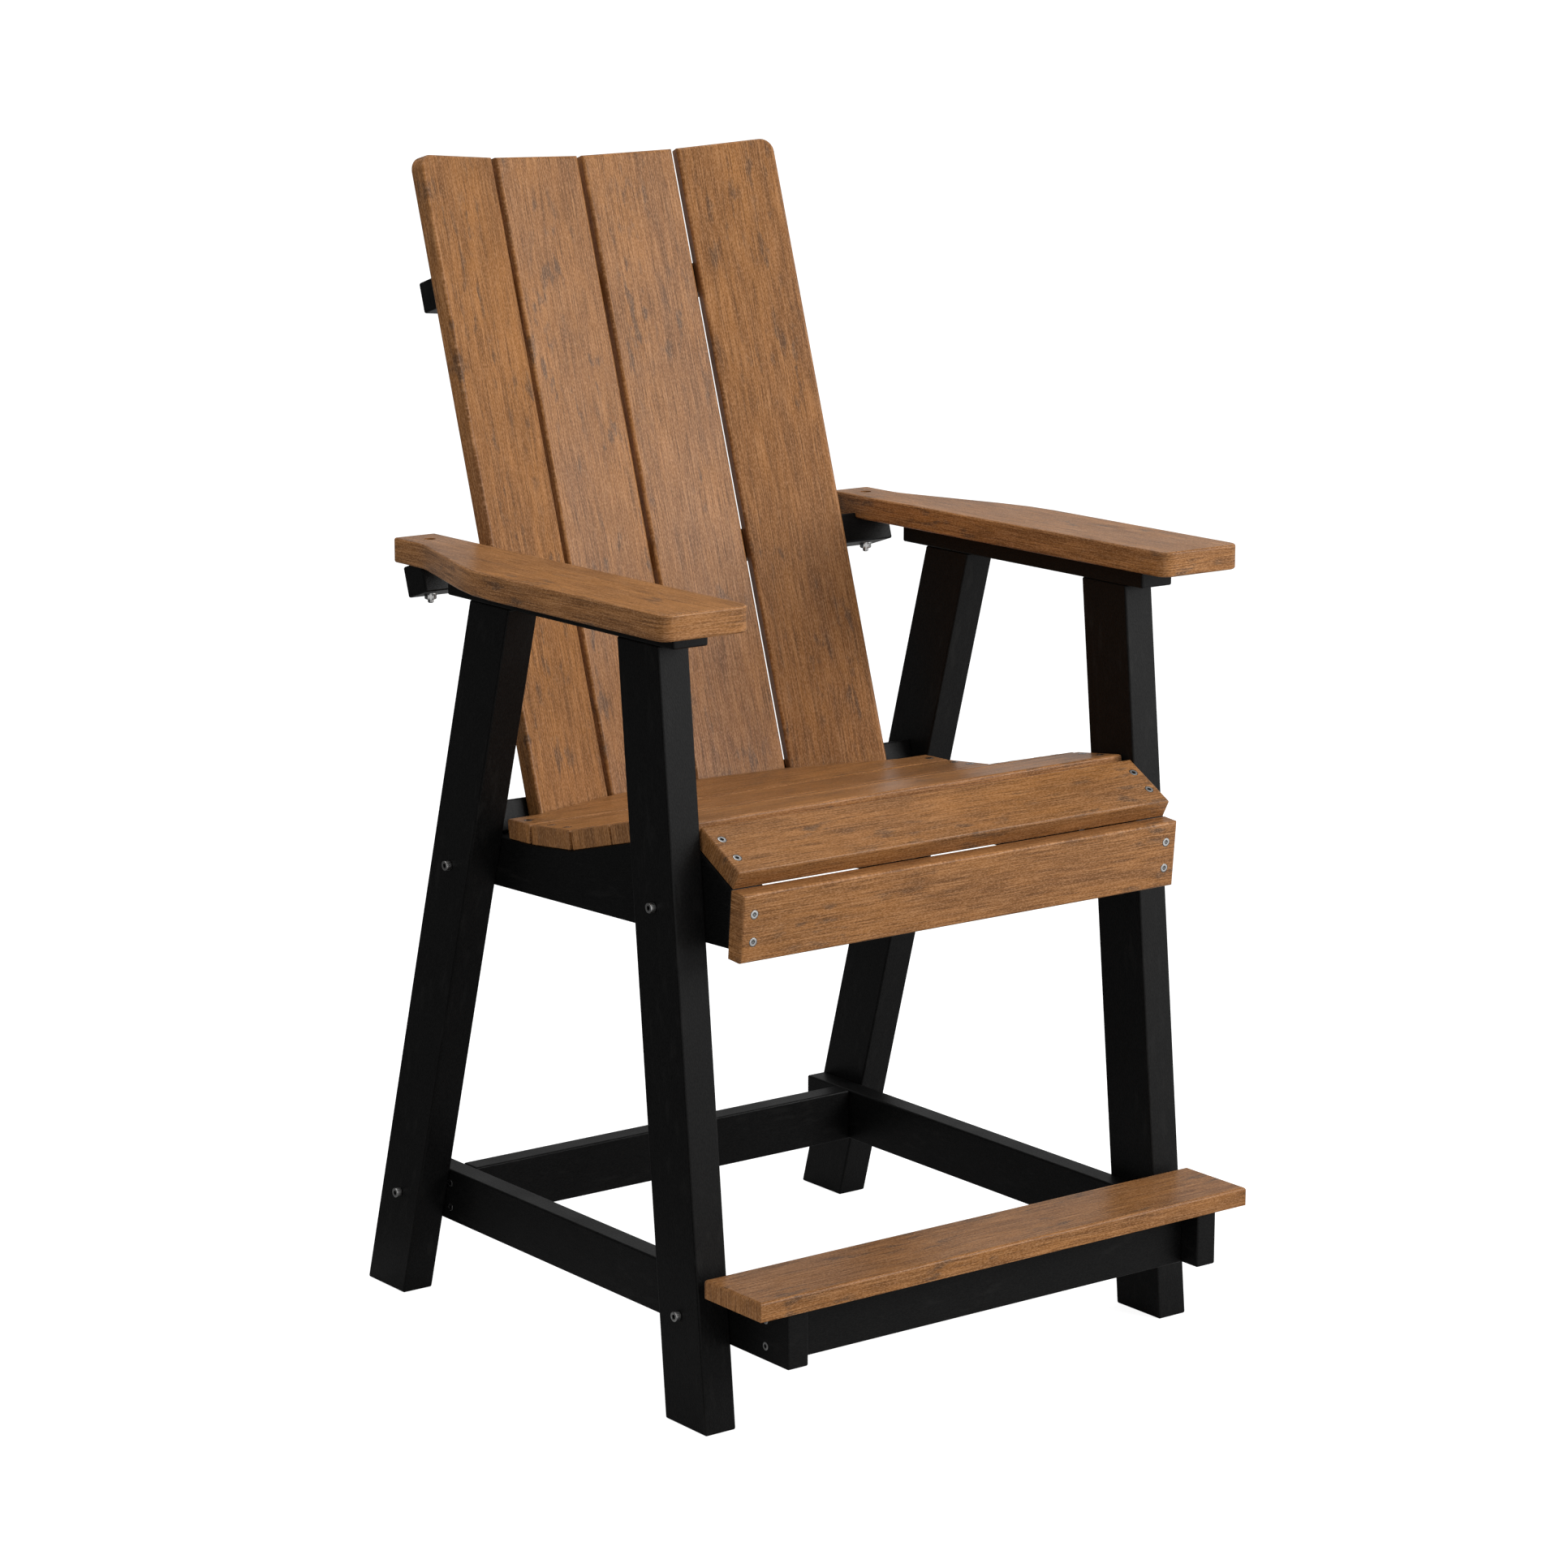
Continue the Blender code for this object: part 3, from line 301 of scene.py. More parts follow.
def grain_uv(local, faces, along, round_edge):
    """Grain map of a board, in metres, for each face corner: x runs with the grain, y round the board.

    Long faces take (along, across + through). End faces take (through, across), so that the streaks cross an
    end as they do on a sawn board. Where the way round the edge is given, the edge faces take (way round,
    through) instead.
    """
    across = np.array([-along[1], along[0], 0.0])
    with_grain = np.array([along[0], along[1], 0.0])
    maps = []
    for face in faces:
        corners = local[face]
        normal = np.cross(corners[..., 1, :] - corners[..., 0, :], corners[..., -1, :] - corners[..., 0, :])
        normal /= np.maximum(np.linalg.norm(normal, axis=-1, keepdims=True), 1e-12)
        is_end = (np.abs(normal @ with_grain) > math.cos(END_FACE_ANGLE))[..., None]
        u = np.where(is_end, corners[..., 2], corners @ with_grain)
        v = corners @ across + np.where(is_end, 0, corners[..., 2])
        if round_edge is not None and face.ndim == 2:
            way = round_edge[face]
            whole = way.max()
            spans_start = np.ptp(way, axis=1, keepdims=True) > whole / 2
            way += np.where(spans_start, whole, 0) * (way < whole / 2)
            is_edge = (np.abs(normal[..., 2]) < math.sqrt(0.5))[..., None]
            u, v = np.where(is_edge, way, u), np.where(is_edge, corners[..., 2], v)
        maps.append(np.stack([u, v], -1).reshape(-1, 2))
    return np.concatenate(maps)


def new_object(name, data):
    """Object in the scene, at the origin."""
    thing = bpy.data.objects.new(name, data)
    bpy.context.scene.collection.objects.link(thing)
    return thing


def new_piece(name, points, faces, finish, replaced, uv=None, normals=None, sharp=None, **marks):
    """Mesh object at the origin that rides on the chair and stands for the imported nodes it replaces.

    Each mark is a point attribute for the finish, with a value per point.
    """
    mesh = bpy.data.meshes.new(name)
    mesh.from_pydata(points.tolist(), [], faces, shade_flat=False)
    mesh.validate()
    if uv is not None:
        mesh.uv_layers.new(name="grain").data.foreach_set("uv", uv.astype(np.float32).ravel())
    for word, values in marks.items():
        mesh.attributes.new(word, "FLOAT", "POINT").data.foreach_set("value", values.astype(np.float32))
    if normals is not None:
        mesh.normals_split_custom_set_from_vertices(normals.tolist())
    if sharp is not None:
        mesh.set_sharp_from_angle(angle=sharp)
    mesh.materials.append(finish)
    piece = new_object(name, mesh)
    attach(piece, "root")
    if replaced:
        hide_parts(*replaced)


def next_length():
    """Start of the next board's grain map, so that no two boards are cut from the same length."""
    return GRAIN_STEP * next(BOARD_NUMBERS)


def eased_board(node, corners, levels, eases, axes, along, finish, recess=None, lean=0):
    """Board with eased edges: a profile carried round the outline, capped on both faces at their levels.

    The profile is a quarter round, a straight edge and a quarter round: at angle a it stands
    ease * (1 - sin a) inside the outline and ease * (1 - cos a) from the face, and its normal is (sin a
    outward, cos a to the face). The lower and the upper face have an ease each. A recess is a round cup in
    the upper face, with the cap split in two along its middle; a board with one has its edge grain run round
    it. A lean shifts the second axis by lean * height at the edge furthest along it, and less in proportion
    toward the other edge.
    """
    middle, thickness = sum(levels) / 2, levels[1] - levels[0]
    angle = np.linspace(0, math.pi / 2, EASE_STEPS + 1)
    lower, upper = (ease * (1 - np.stack([np.sin(angle), np.cos(angle)])) for ease in eases)
    inset = np.concatenate([lower[0], upper[0][::-1]])
    height = np.concatenate([lower[1] - thickness / 2, thickness / 2 - upper[1][::-1]])
    normal_out = np.concatenate([np.sin(angle), np.sin(angle)[::-1]])
    normal_up = np.concatenate([-np.cos(angle), np.cos(angle)[::-1]])
    points, outward = rounded_outline(corners)
    count = len(points)
    flat = np.stack([rounded_outline(inset_corners(corners, depth))[0] for depth in inset])
    tall = np.broadcast_to(height[:, None, None], (len(height), count, 1))
    local = np.concatenate([flat, tall], -1).reshape(-1, 3)
    up = np.broadcast_to(normal_up[:, None, None], (len(height), count, 1))
    facing = np.concatenate([normal_out[:, None, None] * outward[None], up], -1).reshape(-1, 3)
    rings = np.arange(len(local)).reshape(len(height), count)
    quads = ring_quads(rings)
    caps = [rings[0][::-1], rings[-1]]
    round_edge = None
    if recess is not None:
        cup, cup_facing = recess_cup(recess, thickness / 2)
        cup_rings = len(local) + np.arange(len(cup)).reshape(-1, ROUND_STEPS)
        caps = [rings[0][::-1], *split_cap(points, rings[-1], recess[0], cup_rings[0]), cup_rings[-1]]
        quads = np.concatenate([quads, ring_quads(cup_rings)])
        local = np.concatenate([local, cup])
        facing = np.concatenate([facing, cup_facing])
        steps = np.linalg.norm(np.diff(points, axis=0), axis=1)
        way = np.concatenate([[0], np.cumsum(steps)])
        round_edge = np.concatenate([np.tile(way, len(height)), np.zeros(len(cup))])
    reach = (local[:, 1] - local[:, 1].min()) / np.ptp(local[:, 1])
    local[:, 1] += lean * reach * local[:, 2]
    uv = grain_uv(local, [quads, *caps], unit(np.array(along, float)), round_edge) + next_length()
    turn = np.stack([axes[0], axes[1], np.cross(axes[0], axes[1])])
    world = local @ turn + middle * turn[2]
    faces = quads.tolist() + [cap.tolist() for cap in caps]
    # share of painted shade on this board's colour
    tone = np.full(len(world), SHADED_BOARDS.get(node, 0))
    new_piece(node + "_board", world, faces, finish, [node], uv, facing @ turn, tone=tone)


def recess_cup(recess, top):
    """Rings of a round cup sunk into a board's face, and their normals: a rounded rim, a wall and a floor."""
    (x, y), depth = recess
    tip = RECESS_RIM * (1 - math.sqrt(0.5))
    radius = RECESS_RADIUS + np.array([RECESS_RIM, tip, 0, 0, -RECESS_RIM])
    height = top - np.array([0, tip, RECESS_RIM, depth - RECESS_RIM, depth])
    rise = np.array([1, math.sqrt(0.5), 0, 0, 1])
    circle = np.stack([np.cos(ROUND), np.sin(ROUND), np.zeros(ROUND_STEPS)], -1)
    cup = radius[:, None, None] * circle[None] + np.array([x, y, 0])
    cup[..., 2] = height[:, None]
    facing = -np.sqrt(1 - rise ** 2)[:, None, None] * circle[None]
    facing[..., 2] = rise[:, None]
    return cup.reshape(-1, 3), facing.reshape(-1, 3)


def split_cap(points, ring, centre, rim):
    """A face with a round hole as two flat polygons that meet on the level line through the hole's middle."""
    marks = np.flatnonzero(np.abs(points[:, 1] - centre[1]) < 1e-6)
    right, left = marks[np.argmax(points[marks, 0])], marks[np.argmin(points[marks, 0])]
    half = ROUND_STEPS // 2
    rear = np.concatenate([run(ring, right, left), rim[half::-1]])
    front = np.concatenate([run(ring, left, right), rim[:1], rim[:half - 1:-1]])
    return [rear, front]


def run(ring, first, last):
    """Points of a closed ring from one place to another, both included."""
    steps = (last - first) % len(ring) + 1
    return ring[(first + np.arange(steps)) % len(ring)]


def plain_board(node, axes, along, eases, finish, trim=0):
    """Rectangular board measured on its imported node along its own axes, with its two long edges trimmed."""
    third = np.cross(axes[0], axes[1])
    (x0, x1), (y0, y1) = span(node, axes[0]), span(node, axes[1])
    y0, y1 = y0 + trim, y1 - trim
    corner = eases[0]
    corners = [(x0, y0, corner), (x1, y0, corner), (x1, y1, corner), (x0, y1, corner)]
    eased_board(node, corners, span(node, third), eases, axes, along, finish)


# Finishes

def new_group(name, start, results):
    """Shader node group that takes one named vector and gives named values."""
    group = bpy.data.node_groups.new(name, "ShaderNodeTree")
    group.interface.new_socket(name=start, in_out="INPUT", socket_type="NodeSocketVector")
    for word in results:
        group.interface.new_socket(name=word, in_out="OUTPUT", socket_type="NodeSocketFloat")
    entry = group.nodes.new("NodeGroupInput")
    leave = group.nodes.new("NodeGroupOutput")
    return group, entry.outputs[start], leave.inputs


def add_noise(tree, vector, stretch, detail, roughness, place=(0, 0, 0)):
    """Noise on a vector stretched by three factors; a larger factor makes finer marks that way."""
    mapping = tree.nodes.new("ShaderNodeMapping")
    mapping.inputs["Scale"].default_value = stretch
    mapping.inputs["Location"].default_value = place
    tree.links.new(vector, mapping.inputs["Vector"])
    noise = tree.nodes.new("ShaderNodeTexNoise")
    noise.inputs["Scale"].default_value = 1.0
    noise.inputs["Detail"].default_value = detail
    noise.inputs["Roughness"].default_value = roughness
    tree.links.new(mapping.outputs["Vector"], noise.inputs["Vector"])
    return noise.outputs["Fac"]


def add_range(tree, value, low, high, to_low=0.0, to_high=1.0):
    """Value spread from one range to another, held at its ends."""
    spread = tree.nodes.new("ShaderNodeMapRange")
    spread.inputs["From Min"].default_value = low
    spread.inputs["From Max"].default_value = high
    spread.inputs["To Min"].default_value = to_low
    spread.inputs["To Max"].default_value = to_high
    tree.links.new(value, spread.inputs["Value"])
    return spread.outputs["Result"]


def add_sum(tree, operation, first, second):
    """Math node on two values, each a socket or a number."""
    node = tree.nodes.new("ShaderNodeMath")
    node.operation = operation
    for socket, value in zip(node.inputs, (first, second)):
        if isinstance(value, (int, float)):
            socket.default_value = value
        else:
            tree.links.new(value, socket)
    return node.outputs["Value"]


def add_shares(tree, values, shares):
    """Two values added, each by its share."""
    first, second = (add_sum(tree, "MULTIPLY", value, share) for value, share in zip(values, shares))
    return add_sum(tree, "ADD", first, second)


def add_tint(tree, factor, first, second, blend="MIX"):
    """Colour mixed from two by a factor; each colour is a socket or three numbers."""
    node = tree.nodes.new("ShaderNodeMix")
    node.data_type = "RGBA"
    node.blend_type = blend
    tree.links.new(factor, node.inputs["Factor"])
    for socket, value in ((node.inputs["A"], first), (node.inputs["B"], second)):
        if isinstance(value, tuple):
            socket.default_value = (*value, 1)
        else:
            tree.links.new(value, socket)
    return node.outputs["Result"]


def board_grain_group():
    """Marks of a streaked, embossed board on its grain map, and the height of its relief."""
    words = ("Fleck", "Fibre", "Streak", "Patch", "Smudge", "Height")
    group, grain, results = new_group("board_grain", "Grain", words)
    wander = add_noise(group, grain, *GRAIN_WANDER)
    sway = group.nodes.new("ShaderNodeCombineXYZ")
    group.links.new(add_range(group, wander, 0.0, 1.0, -GRAIN_SWAY, GRAIN_SWAY), sway.inputs["Y"])
    bent = group.nodes.new("ShaderNodeVectorMath")
    group.links.new(grain, bent.inputs[0])
    group.links.new(sway.outputs["Vector"], bent.inputs[1])
    marks = {word: add_noise(group, bent.outputs["Vector"], *noise) for word, noise in GRAIN_NOISES.items()}
    marks["Smudge"] = add_sum(group, "MULTIPLY", add_range(group, marks["Spot"], *SMUDGE_SPOT),
                              add_range(group, marks["Cluster"], *SMUDGE_CLUSTER))
    marks["Height"] = add_shares(group, (marks["Fleck"], marks["Fibre"]), RELIEF_SHARES)
    for word in words:
        group.links.new(marks[word], results[word])
    return group


def handling_group():
    """Uneven sheen from handling, on Object coordinates: soft blotches with fine specks."""
    group, place, results = new_group("handling", "Place", ("Sheen",))
    noises = [add_noise(group, place, *noise) for noise in (HANDLING_BLOTCH, HANDLING_SPECK)]
    group.links.new(add_shares(group, noises, HANDLING_SHARES), results["Sheen"])
    return group


GRAIN_GROUP = board_grain_group()
HANDLING_GROUP = handling_group()


def new_finish(name):
    """Material with its tree and its Principled shader."""
    finish = bpy.data.materials.new(name)
    finish.use_nodes = True
    tree = finish.node_tree
    return finish, tree, tree.nodes["Principled BSDF"]


def add_grain(tree):
    """The board grain group on a piece's own grain map."""
    uv = tree.nodes.new("ShaderNodeUVMap")
    uv.uv_map = "grain"
    grain = tree.nodes.new("ShaderNodeGroup")
    grain.node_tree = GRAIN_GROUP
    tree.links.new(uv.outputs["UV"], grain.inputs["Grain"])
    return grain.outputs


def add_handling(tree):
    """The handling group on Object coordinates."""
    place = tree.nodes.new("ShaderNodeTexCoord")
    handling = tree.nodes.new("ShaderNodeGroup")
    handling.node_tree = HANDLING_GROUP
    tree.links.new(place.outputs["Object"], handling.inputs["Place"])
    return handling.outputs["Sheen"]


def add_mark(tree, word):
    """A piece's own point attribute, as a share."""
    mark = tree.nodes.new("ShaderNodeAttribute")
    mark.attribute_name = word
    return mark.outputs["Fac"]


def add_bump(tree, surface, height, strength, distance):
    """Fine relief from a height."""
    bump = tree.nodes.new("ShaderNodeBump")
    bump.inputs["Strength"].default_value = strength
    bump.inputs["Distance"].default_value = distance
    tree.links.new(height, bump.inputs["Height"])
    tree.links.new(bump.outputs["Normal"], surface.inputs["Normal"])


def brown_lumber():
    """Tan-brown wood-look plastic: broad patches, streaks, grey smudges, short fibres and flecks."""
    finish, tree, surface = new_finish("brown_lumber")
    marks = add_grain(tree)
    reach, dark, pale = BROWN_PATCHES
    body = add_tint(tree, add_range(tree, marks["Patch"], *reach), dark, pale)
    for word, start, full, share, colour in BROWN_MARKS:
        body = add_tint(tree, add_range(tree, marks[word], start, full, 0.0, share), body, colour)
    # painted shade multiplied into the shaded boards' colour
    body = add_tint(tree, add_mark(tree, "tone"), body, BROWN_SHADE, "MULTIPLY")
    tree.links.new(body, surface.inputs["Base Color"])
    rough = add_sum(tree, "ADD", add_range(tree, add_handling(tree), *SHEEN_RANGE, *BROWN_ROUGHNESS),
                    add_range(tree, marks["Fibre"], *SHEEN_RANGE, *BROWN_FIBRE_ROUGHNESS))
    tree.links.new(rough, surface.inputs["Roughness"])
    surface.inputs["Specular IOR Level"].default_value = BROWN_SPECULAR
    add_bump(tree, surface, marks["Height"], *BROWN_RELIEF)
    return finish


def black_lumber():
    """Near-black plastic board, faintly pebbled and mottled."""
    finish, tree, surface = new_finish("black_lumber")
    marks = add_grain(tree)
    reach, dark, pale = BLACK_FLECKS
    body = add_tint(tree, add_range(tree, marks["Fleck"], *reach), dark, pale)
    body = add_tint(tree, add_range(tree, marks["Smudge"], *BLACK_SMUDGES), body, BLACK_SMUDGE_COLOUR)
    tree.links.new(body, surface.inputs["Base Color"])
    surface.inputs["Specular IOR Level"].default_value = BLACK_SPECULAR
    sheen = add_handling(tree)
    tree.links.new(add_range(tree, sheen, *SHEEN_RANGE, *BLACK_ROUGHNESS), surface.inputs["Roughness"])
    add_bump(tree, surface, add_sum(tree, "ADD", marks["Fleck"], sheen), *BLACK_RELIEF)
    return finish


def bright_steel():
    """Bright fastener steel with a faintly uneven polish, with painted shade in its recesses and round its
    screws' holes.
    """
    finish, tree, surface = new_finish("bright_steel")
    sheen = add_handling(tree)
    reach, dark, pale = STEEL_POLISH
    body = add_tint(tree, add_range(tree, sheen, *reach), dark, pale)
    # painted shade, by each ring's share
    body = add_tint(tree, add_mark(tree, "grime"), body, PAINTED_SHADE_COLOUR)
    tree.links.new(body, surface.inputs["Base Color"])
    tree.links.new(add_range(tree, sheen, *SHEEN_RANGE, *STEEL_ROUGHNESS), surface.inputs["Roughness"])
    surface.inputs["Metallic"].default_value = 1.0
    return finish


BROWN = brown_lumber()
BLACK = black_lumber()
STEEL = bright_steel()


# Legs and lower frame

def add_leg(node, rake):
    """Raked leg: the leg's two long edges cut level at the floor and at the top."""
    across = np.array([0.0, math.cos(rake), -math.sin(rake)])
    (front, rear), (foot, top) = span(node, across), span(node, Z)
    corners = []
    for reach, height in ((front, foot), (rear, foot), (rear, top), (front, top)):
        corners.append(((reach + height * math.sin(rake)) / math.cos(rake), height, BLACK_EASES[0]))
    along = (math.sin(rake), math.cos(rake))
    eased_board(node, corners, span(node, X), BLACK_EASES, (Y, Z), along, BLACK)


def add_lower_frame():
    """Legs, stretchers on edge, arm rails and the footrest board."""
    for word, _ in SIDES:
        add_leg("leg_front_" + word, FRONT_LEG_RAKE)
        add_leg("leg_rear_" + word, REAR_LEG_RAKE)
        plain_board("side_stretcher_" + word, (Y, Z), (1, 0), BLACK_EASES, BLACK)
        plain_board("arm_rail_" + word, (X, Y), (0, 1), BLACK_EASES, BLACK)
    for node in CROSS_STRETCHERS:
        plain_board(node, (X, Z), (1, 0), BLACK_EASES, BLACK)
    plain_board("footrest_board", (X, Y), (1, 0), FOOTREST_EASES, BROWN)


# Seat

def slat_axes(tilt):
    """Axes of a seat slat: along the chair's width, backward along the slat, and its upward normal."""
    back = np.array([0.0, math.cos(tilt), -math.sin(tilt)])
    return X, back, np.cross(X, back)


def back_slat_axes(turn):
    """Axes of a back slat: across its face to the right, up the back, and forward from its face."""
    across = math.cos(turn) * X - math.sin(turn) * BACK_W
    return across, BACK_V, np.cross(across, BACK_V)


def lower_edge(index, rear):
    """Lower front or rear edge of a seat slat in the side view (y, z)."""
    node, (_, back, normal) = SEAT_SLATS[index], slat_axes(SEAT_TILTS[index])
    return (span(node, back)[1 if rear else 0] * back + span(node, normal)[0] * normal)[1:]


def seat_cut(y):
    """Height of the plane under the lower brace, square to the back."""
    low = span("back_brace_lower", BACK_V)[0] - FIT
    return (low - y * BACK_V[1]) / BACK_V[2]


def stringer_top(tail_y):
    """Top edge of a stringer, rear to front: the lower brace's sloped seat, then the slats' dished line."""
    drop = np.array([0, FIT / math.cos(SEAT_TILTS[-1])])
    rears = [lower_edge(index, True) for index in range(len(SEAT_SLATS))]
    fronts = [lower_edge(index, False) for index in range(len(SEAT_SLATS))]
    tail = np.array([tail_y, seat_cut(tail_y)])
    knee = crossing((rears[0] - drop, rears[0] - fronts[0]), (tail, BACK_W[1:]))
    return [tail, knee] + [(front + rear) / 2 - drop for front, rear in zip(fronts, rears[1:])]


def stringer_bottom(y):
    """Bottom edge of the stringers: straight from below the seat's rear edge to the nose."""
    rear = lower_edge(0, True) - (0, STRINGER_TAIL_DEPTH)
    nose = lower_edge(-1, False) - (0, STRINGER_NOSE_DEPTH)
    return rear[1] + (nose[1] - rear[1]) * (y - rear[0]) / (nose[0] - rear[0])


def add_stringer(node, top, nose):
    """Stringer board: the dished top edge, its nose, the straight bottom edge and an upright tail."""
    tail_y = top[0][0]
    corner = BLACK_EASES[0]
    edge = [(*top[0], corner)] + [(*spot, STRINGER_BEND) for spot in top[1:]]
    edge += [(*nose[0], corner), (*nose[1], corner), (tail_y, stringer_bottom(tail_y), corner)]
    eased_board(node, edge, span(node, X), BLACK_EASES, (Y, Z), (1, 0), BLACK)


def slat_face(index, axes, height):
    """Line just before a back slat's face at a height over a seat slat's axes: a point and its direction."""
    forward = back_slat_axes(SLAT_TURNS[index])[2]
    across = np.array([axes[0] @ forward, axes[1] @ forward])
    face = span(BACK_SLATS[index], forward)[1] + SCRIBE_GAP - height * (axes[2] @ forward)
    return across * face / (across @ across), np.array([-across[1], across[0]])


def add_rear_slat():
    """Rear seat slat: its rear edge bows back to follow the back slats' faces, and leans with them."""
    node, axes = SEAT_SLATS[0], slat_axes(SEAT_TILTS[0])
    (x0, x1), (y0, y1), levels = (span(node, axis) for axis in axes)
    faces = [slat_face(index, axes, sum(levels) / 2) for index in range(len(BACK_SLATS))]
    straight = (np.array([0.0, y1]), np.array([1.0, 0.0]))
    bow = [crossing(first, second) for first, second in zip([straight, *faces], [*faces, straight])]
    front = y0 + SEAT_TRIM
    corners = [(x0, front, SAWN_EDGE), (x1, front, SAWN_EDGE), (x1, y1, SAWN_EDGE)]
    corners += [(*spot, SCRIBE_BEND) for spot in reversed(bow)] + [(x0, y1, SAWN_EDGE)]
    lean = math.tan(BACK_LEAN - SEAT_TILTS[0])
    eased_board(node, corners, levels, SLAT_EASES, axes[:2], (1, 0), BROWN, lean=lean)


def add_seat():
    """The dished row of slats, the sloped front slat, the apron and three stringers."""
    add_rear_slat()
    for node, tilt in zip(SEAT_SLATS[1:], SEAT_TILTS[1:]):
        trim = SEAT_TRIM if node != "seat_front_slat" else 0
        plain_board(node, slat_axes(tilt)[:2], (1, 0), SLAT_EASES, BROWN, trim)
    plain_board("seat_apron", (X, APRON_UP), (1, 0), SLAT_EASES, BROWN)
    inner = span("seat_apron", -APRON_OUT)[1] + FIT
    behind_apron = (-inner * APRON_OUT[1:], APRON_UP[1:])
    for word, _ in SIDES:
        node = "seat_stringer_" + word
        top = stringer_top(span(node, Y)[1])
        nose_top = crossing((top[-1], lower_edge(-1, False) - lower_edge(-1, True)), behind_apron)
        foot_level = (np.array([nose_top[0], stringer_bottom(nose_top[0])]), Y[1:])
        add_stringer(node, top, (nose_top, crossing(behind_apron, foot_level)))
    node = "seat_stringer_centre"
    nose_y, tail_y = span(node, Y)
    top = stringer_top(tail_y)
    nose_top = crossing((top[-2], top[-1] - top[-2]), (np.array([nose_y, 0.0]), Z[1:]))
    add_stringer(node, top[:-1], (nose_top, nose_top - (0, CENTRE_STRINGER_NOSE_DEPTH)))


# Back

def add_back_slats():
    """Four slats, each measured along its own face; the outer two have a rounded outer top corner."""
    for index, (node, turn) in enumerate(zip(BACK_SLATS, SLAT_TURNS)):
        axes = back_slat_axes(turn)
        (x0, x1), (y0, y1), levels = (span(node, axis) for axis in axes)
        right = SLAT_TOP_CORNER if index == len(BACK_SLATS) - 1 else SAWN_EDGE
        left = SLAT_TOP_CORNER if index == 0 else SAWN_EDGE
        top = y1 - SLAT_TRIM
        corners = [(x0, y0, SAWN_EDGE), (x1, y0, SAWN_EDGE), (x1, top, right), (x0, top, left)]
        eased_board(node, corners, levels, BACK_EASES, axes[:2], (0, 1), BROWN)


def behind_slat(index):
    """Line just behind a back slat in the back's plan (x, backward): a point and its direction."""
    turn = SLAT_TURNS[index]
    along = np.array([math.cos(turn), -math.sin(turn)])
    back = np.array([math.sin(turn), math.cos(turn)])
    return back * (FIT - span(BACK_SLATS[index], back_slat_axes(turn)[2])[0]), along


def brace_plan(node):
    """A brace in plan: its right front corners, its reach, its flats' end, its rear arc's centre and radius.

    The arc rises over the brace's half width end by the flats' sagitta s, so its radius is
    (end * end + s * s) / (2 * s).
    """
    reach = span(node, X)[1]
    backward = np.array([0.0, 1.0])
    outer_slat = span(BACK_SLATS[-1], back_slat_axes(SLAT_TURNS[-1])[0])[1]
    inner_flat, outer_flat = behind_slat(2), behind_slat(3)
    point, along = outer_flat
    shoulder = point + along * (outer_slat - point @ along)
    end = min(reach, shoulder[0])
    flats = [crossing(inner_flat, (np.zeros(2), backward)), crossing(inner_flat, outer_flat),
             crossing(outer_flat, (np.array([end, 0.0]), backward))]
    sagitta = flats[0][1] - flats[2][1]
    radius = (end ** 2 + sagitta ** 2) / (2 * sagitta)
    centre = span(node, BACK_W)[1] - radius
    return flats, reach, end, centre, radius


def add_brace(node):
    """Curved brace: flats for the slats in front, wings out to its reach, a round back."""
    flats, reach, end, centre, radius = brace_plan(node)
    corner = BLACK_EASES[0]
    has_wings = reach > end + FIT
    front = [(*flats[1], BRACE_BEND), (*flats[2], BRACE_BEND if has_wings else corner)]
    if has_wings:
        rear_w = centre + math.sqrt(radius ** 2 - end ** 2)
        front += [(reach, flats[2][1], corner), (reach, rear_w, BRACE_CORNER)]
    bow = math.asin(end / radius) * np.linspace(1, 0, BRACE_ARC_POINTS)
    arc = [(radius * math.sin(a), centre + radius * math.cos(a), BRACE_BEND) for a in bow]
    arc[0] = (*arc[0][:2], BRACE_BEND if has_wings else BRACE_CORNER)
    right = front + arc[:-1]
    left = [(-x, y, r) for x, y, r in reversed(right)]
    corners = [(*flats[0], BRACE_BEND), *right, arc[-1], *left]
    eased_board(node, corners, span(node, BACK_V), BLACK_EASES, (X, BACK_W), (1, 0), BLACK)


# Arms

def add_arm(word, side):
    """Paddle-shaped arm, narrow behind and flared outward in front, with the bolt's recess in its top."""
    node, bolt = "arm_" + word, "arm_bolt_" + word
    low, high = np.array(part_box(node)[0]), np.array(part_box(node)[1])
    inner, outer = (low[0], high[0]) if side > 0 else (-high[0], -low[0])
    flare_y = high[1] - ARM_FLARE_START
    narrow = inner + ARM_REAR_WIDTH
    spot = node_middle(bolt)[:2]
    corners = [
        (inner, high[1], ARM_CORNER), (inner, spot[1], 0), (inner, low[1], ARM_FRONT_CORNER),
        (outer, low[1], ARM_FRONT_CORNER), (outer, flare_y - ARM_FLARE_LENGTH, ARM_FLARE_FRONT_RADIUS),
        (narrow, flare_y, ARM_FLARE_REAR_RADIUS), (narrow, spot[1], 0), (narrow, high[1], ARM_CORNER)]
    if side < 0:
        corners = [(-x, y, radius) for x, y, radius in reversed(corners)]
    recess = (spot, high[2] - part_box(bolt)[1][2] + BOLT_HEAD_HEIGHT + FIT)
    eased_board(node, corners, (low[2], high[2]), ARM_EASES, (X, Y), (0, 1), BROWN, recess)


# Fasteners

def ring_radius(sides, reach):
    """Radius round a ring: even for a circle, and flat / cos of the angle off the flat for a prism."""
    if sides == 0:
        return np.full(ROUND_STEPS, reach)
    step = 2 * math.pi / sides
    return reach / np.cos(ROUND % step - step / 2)


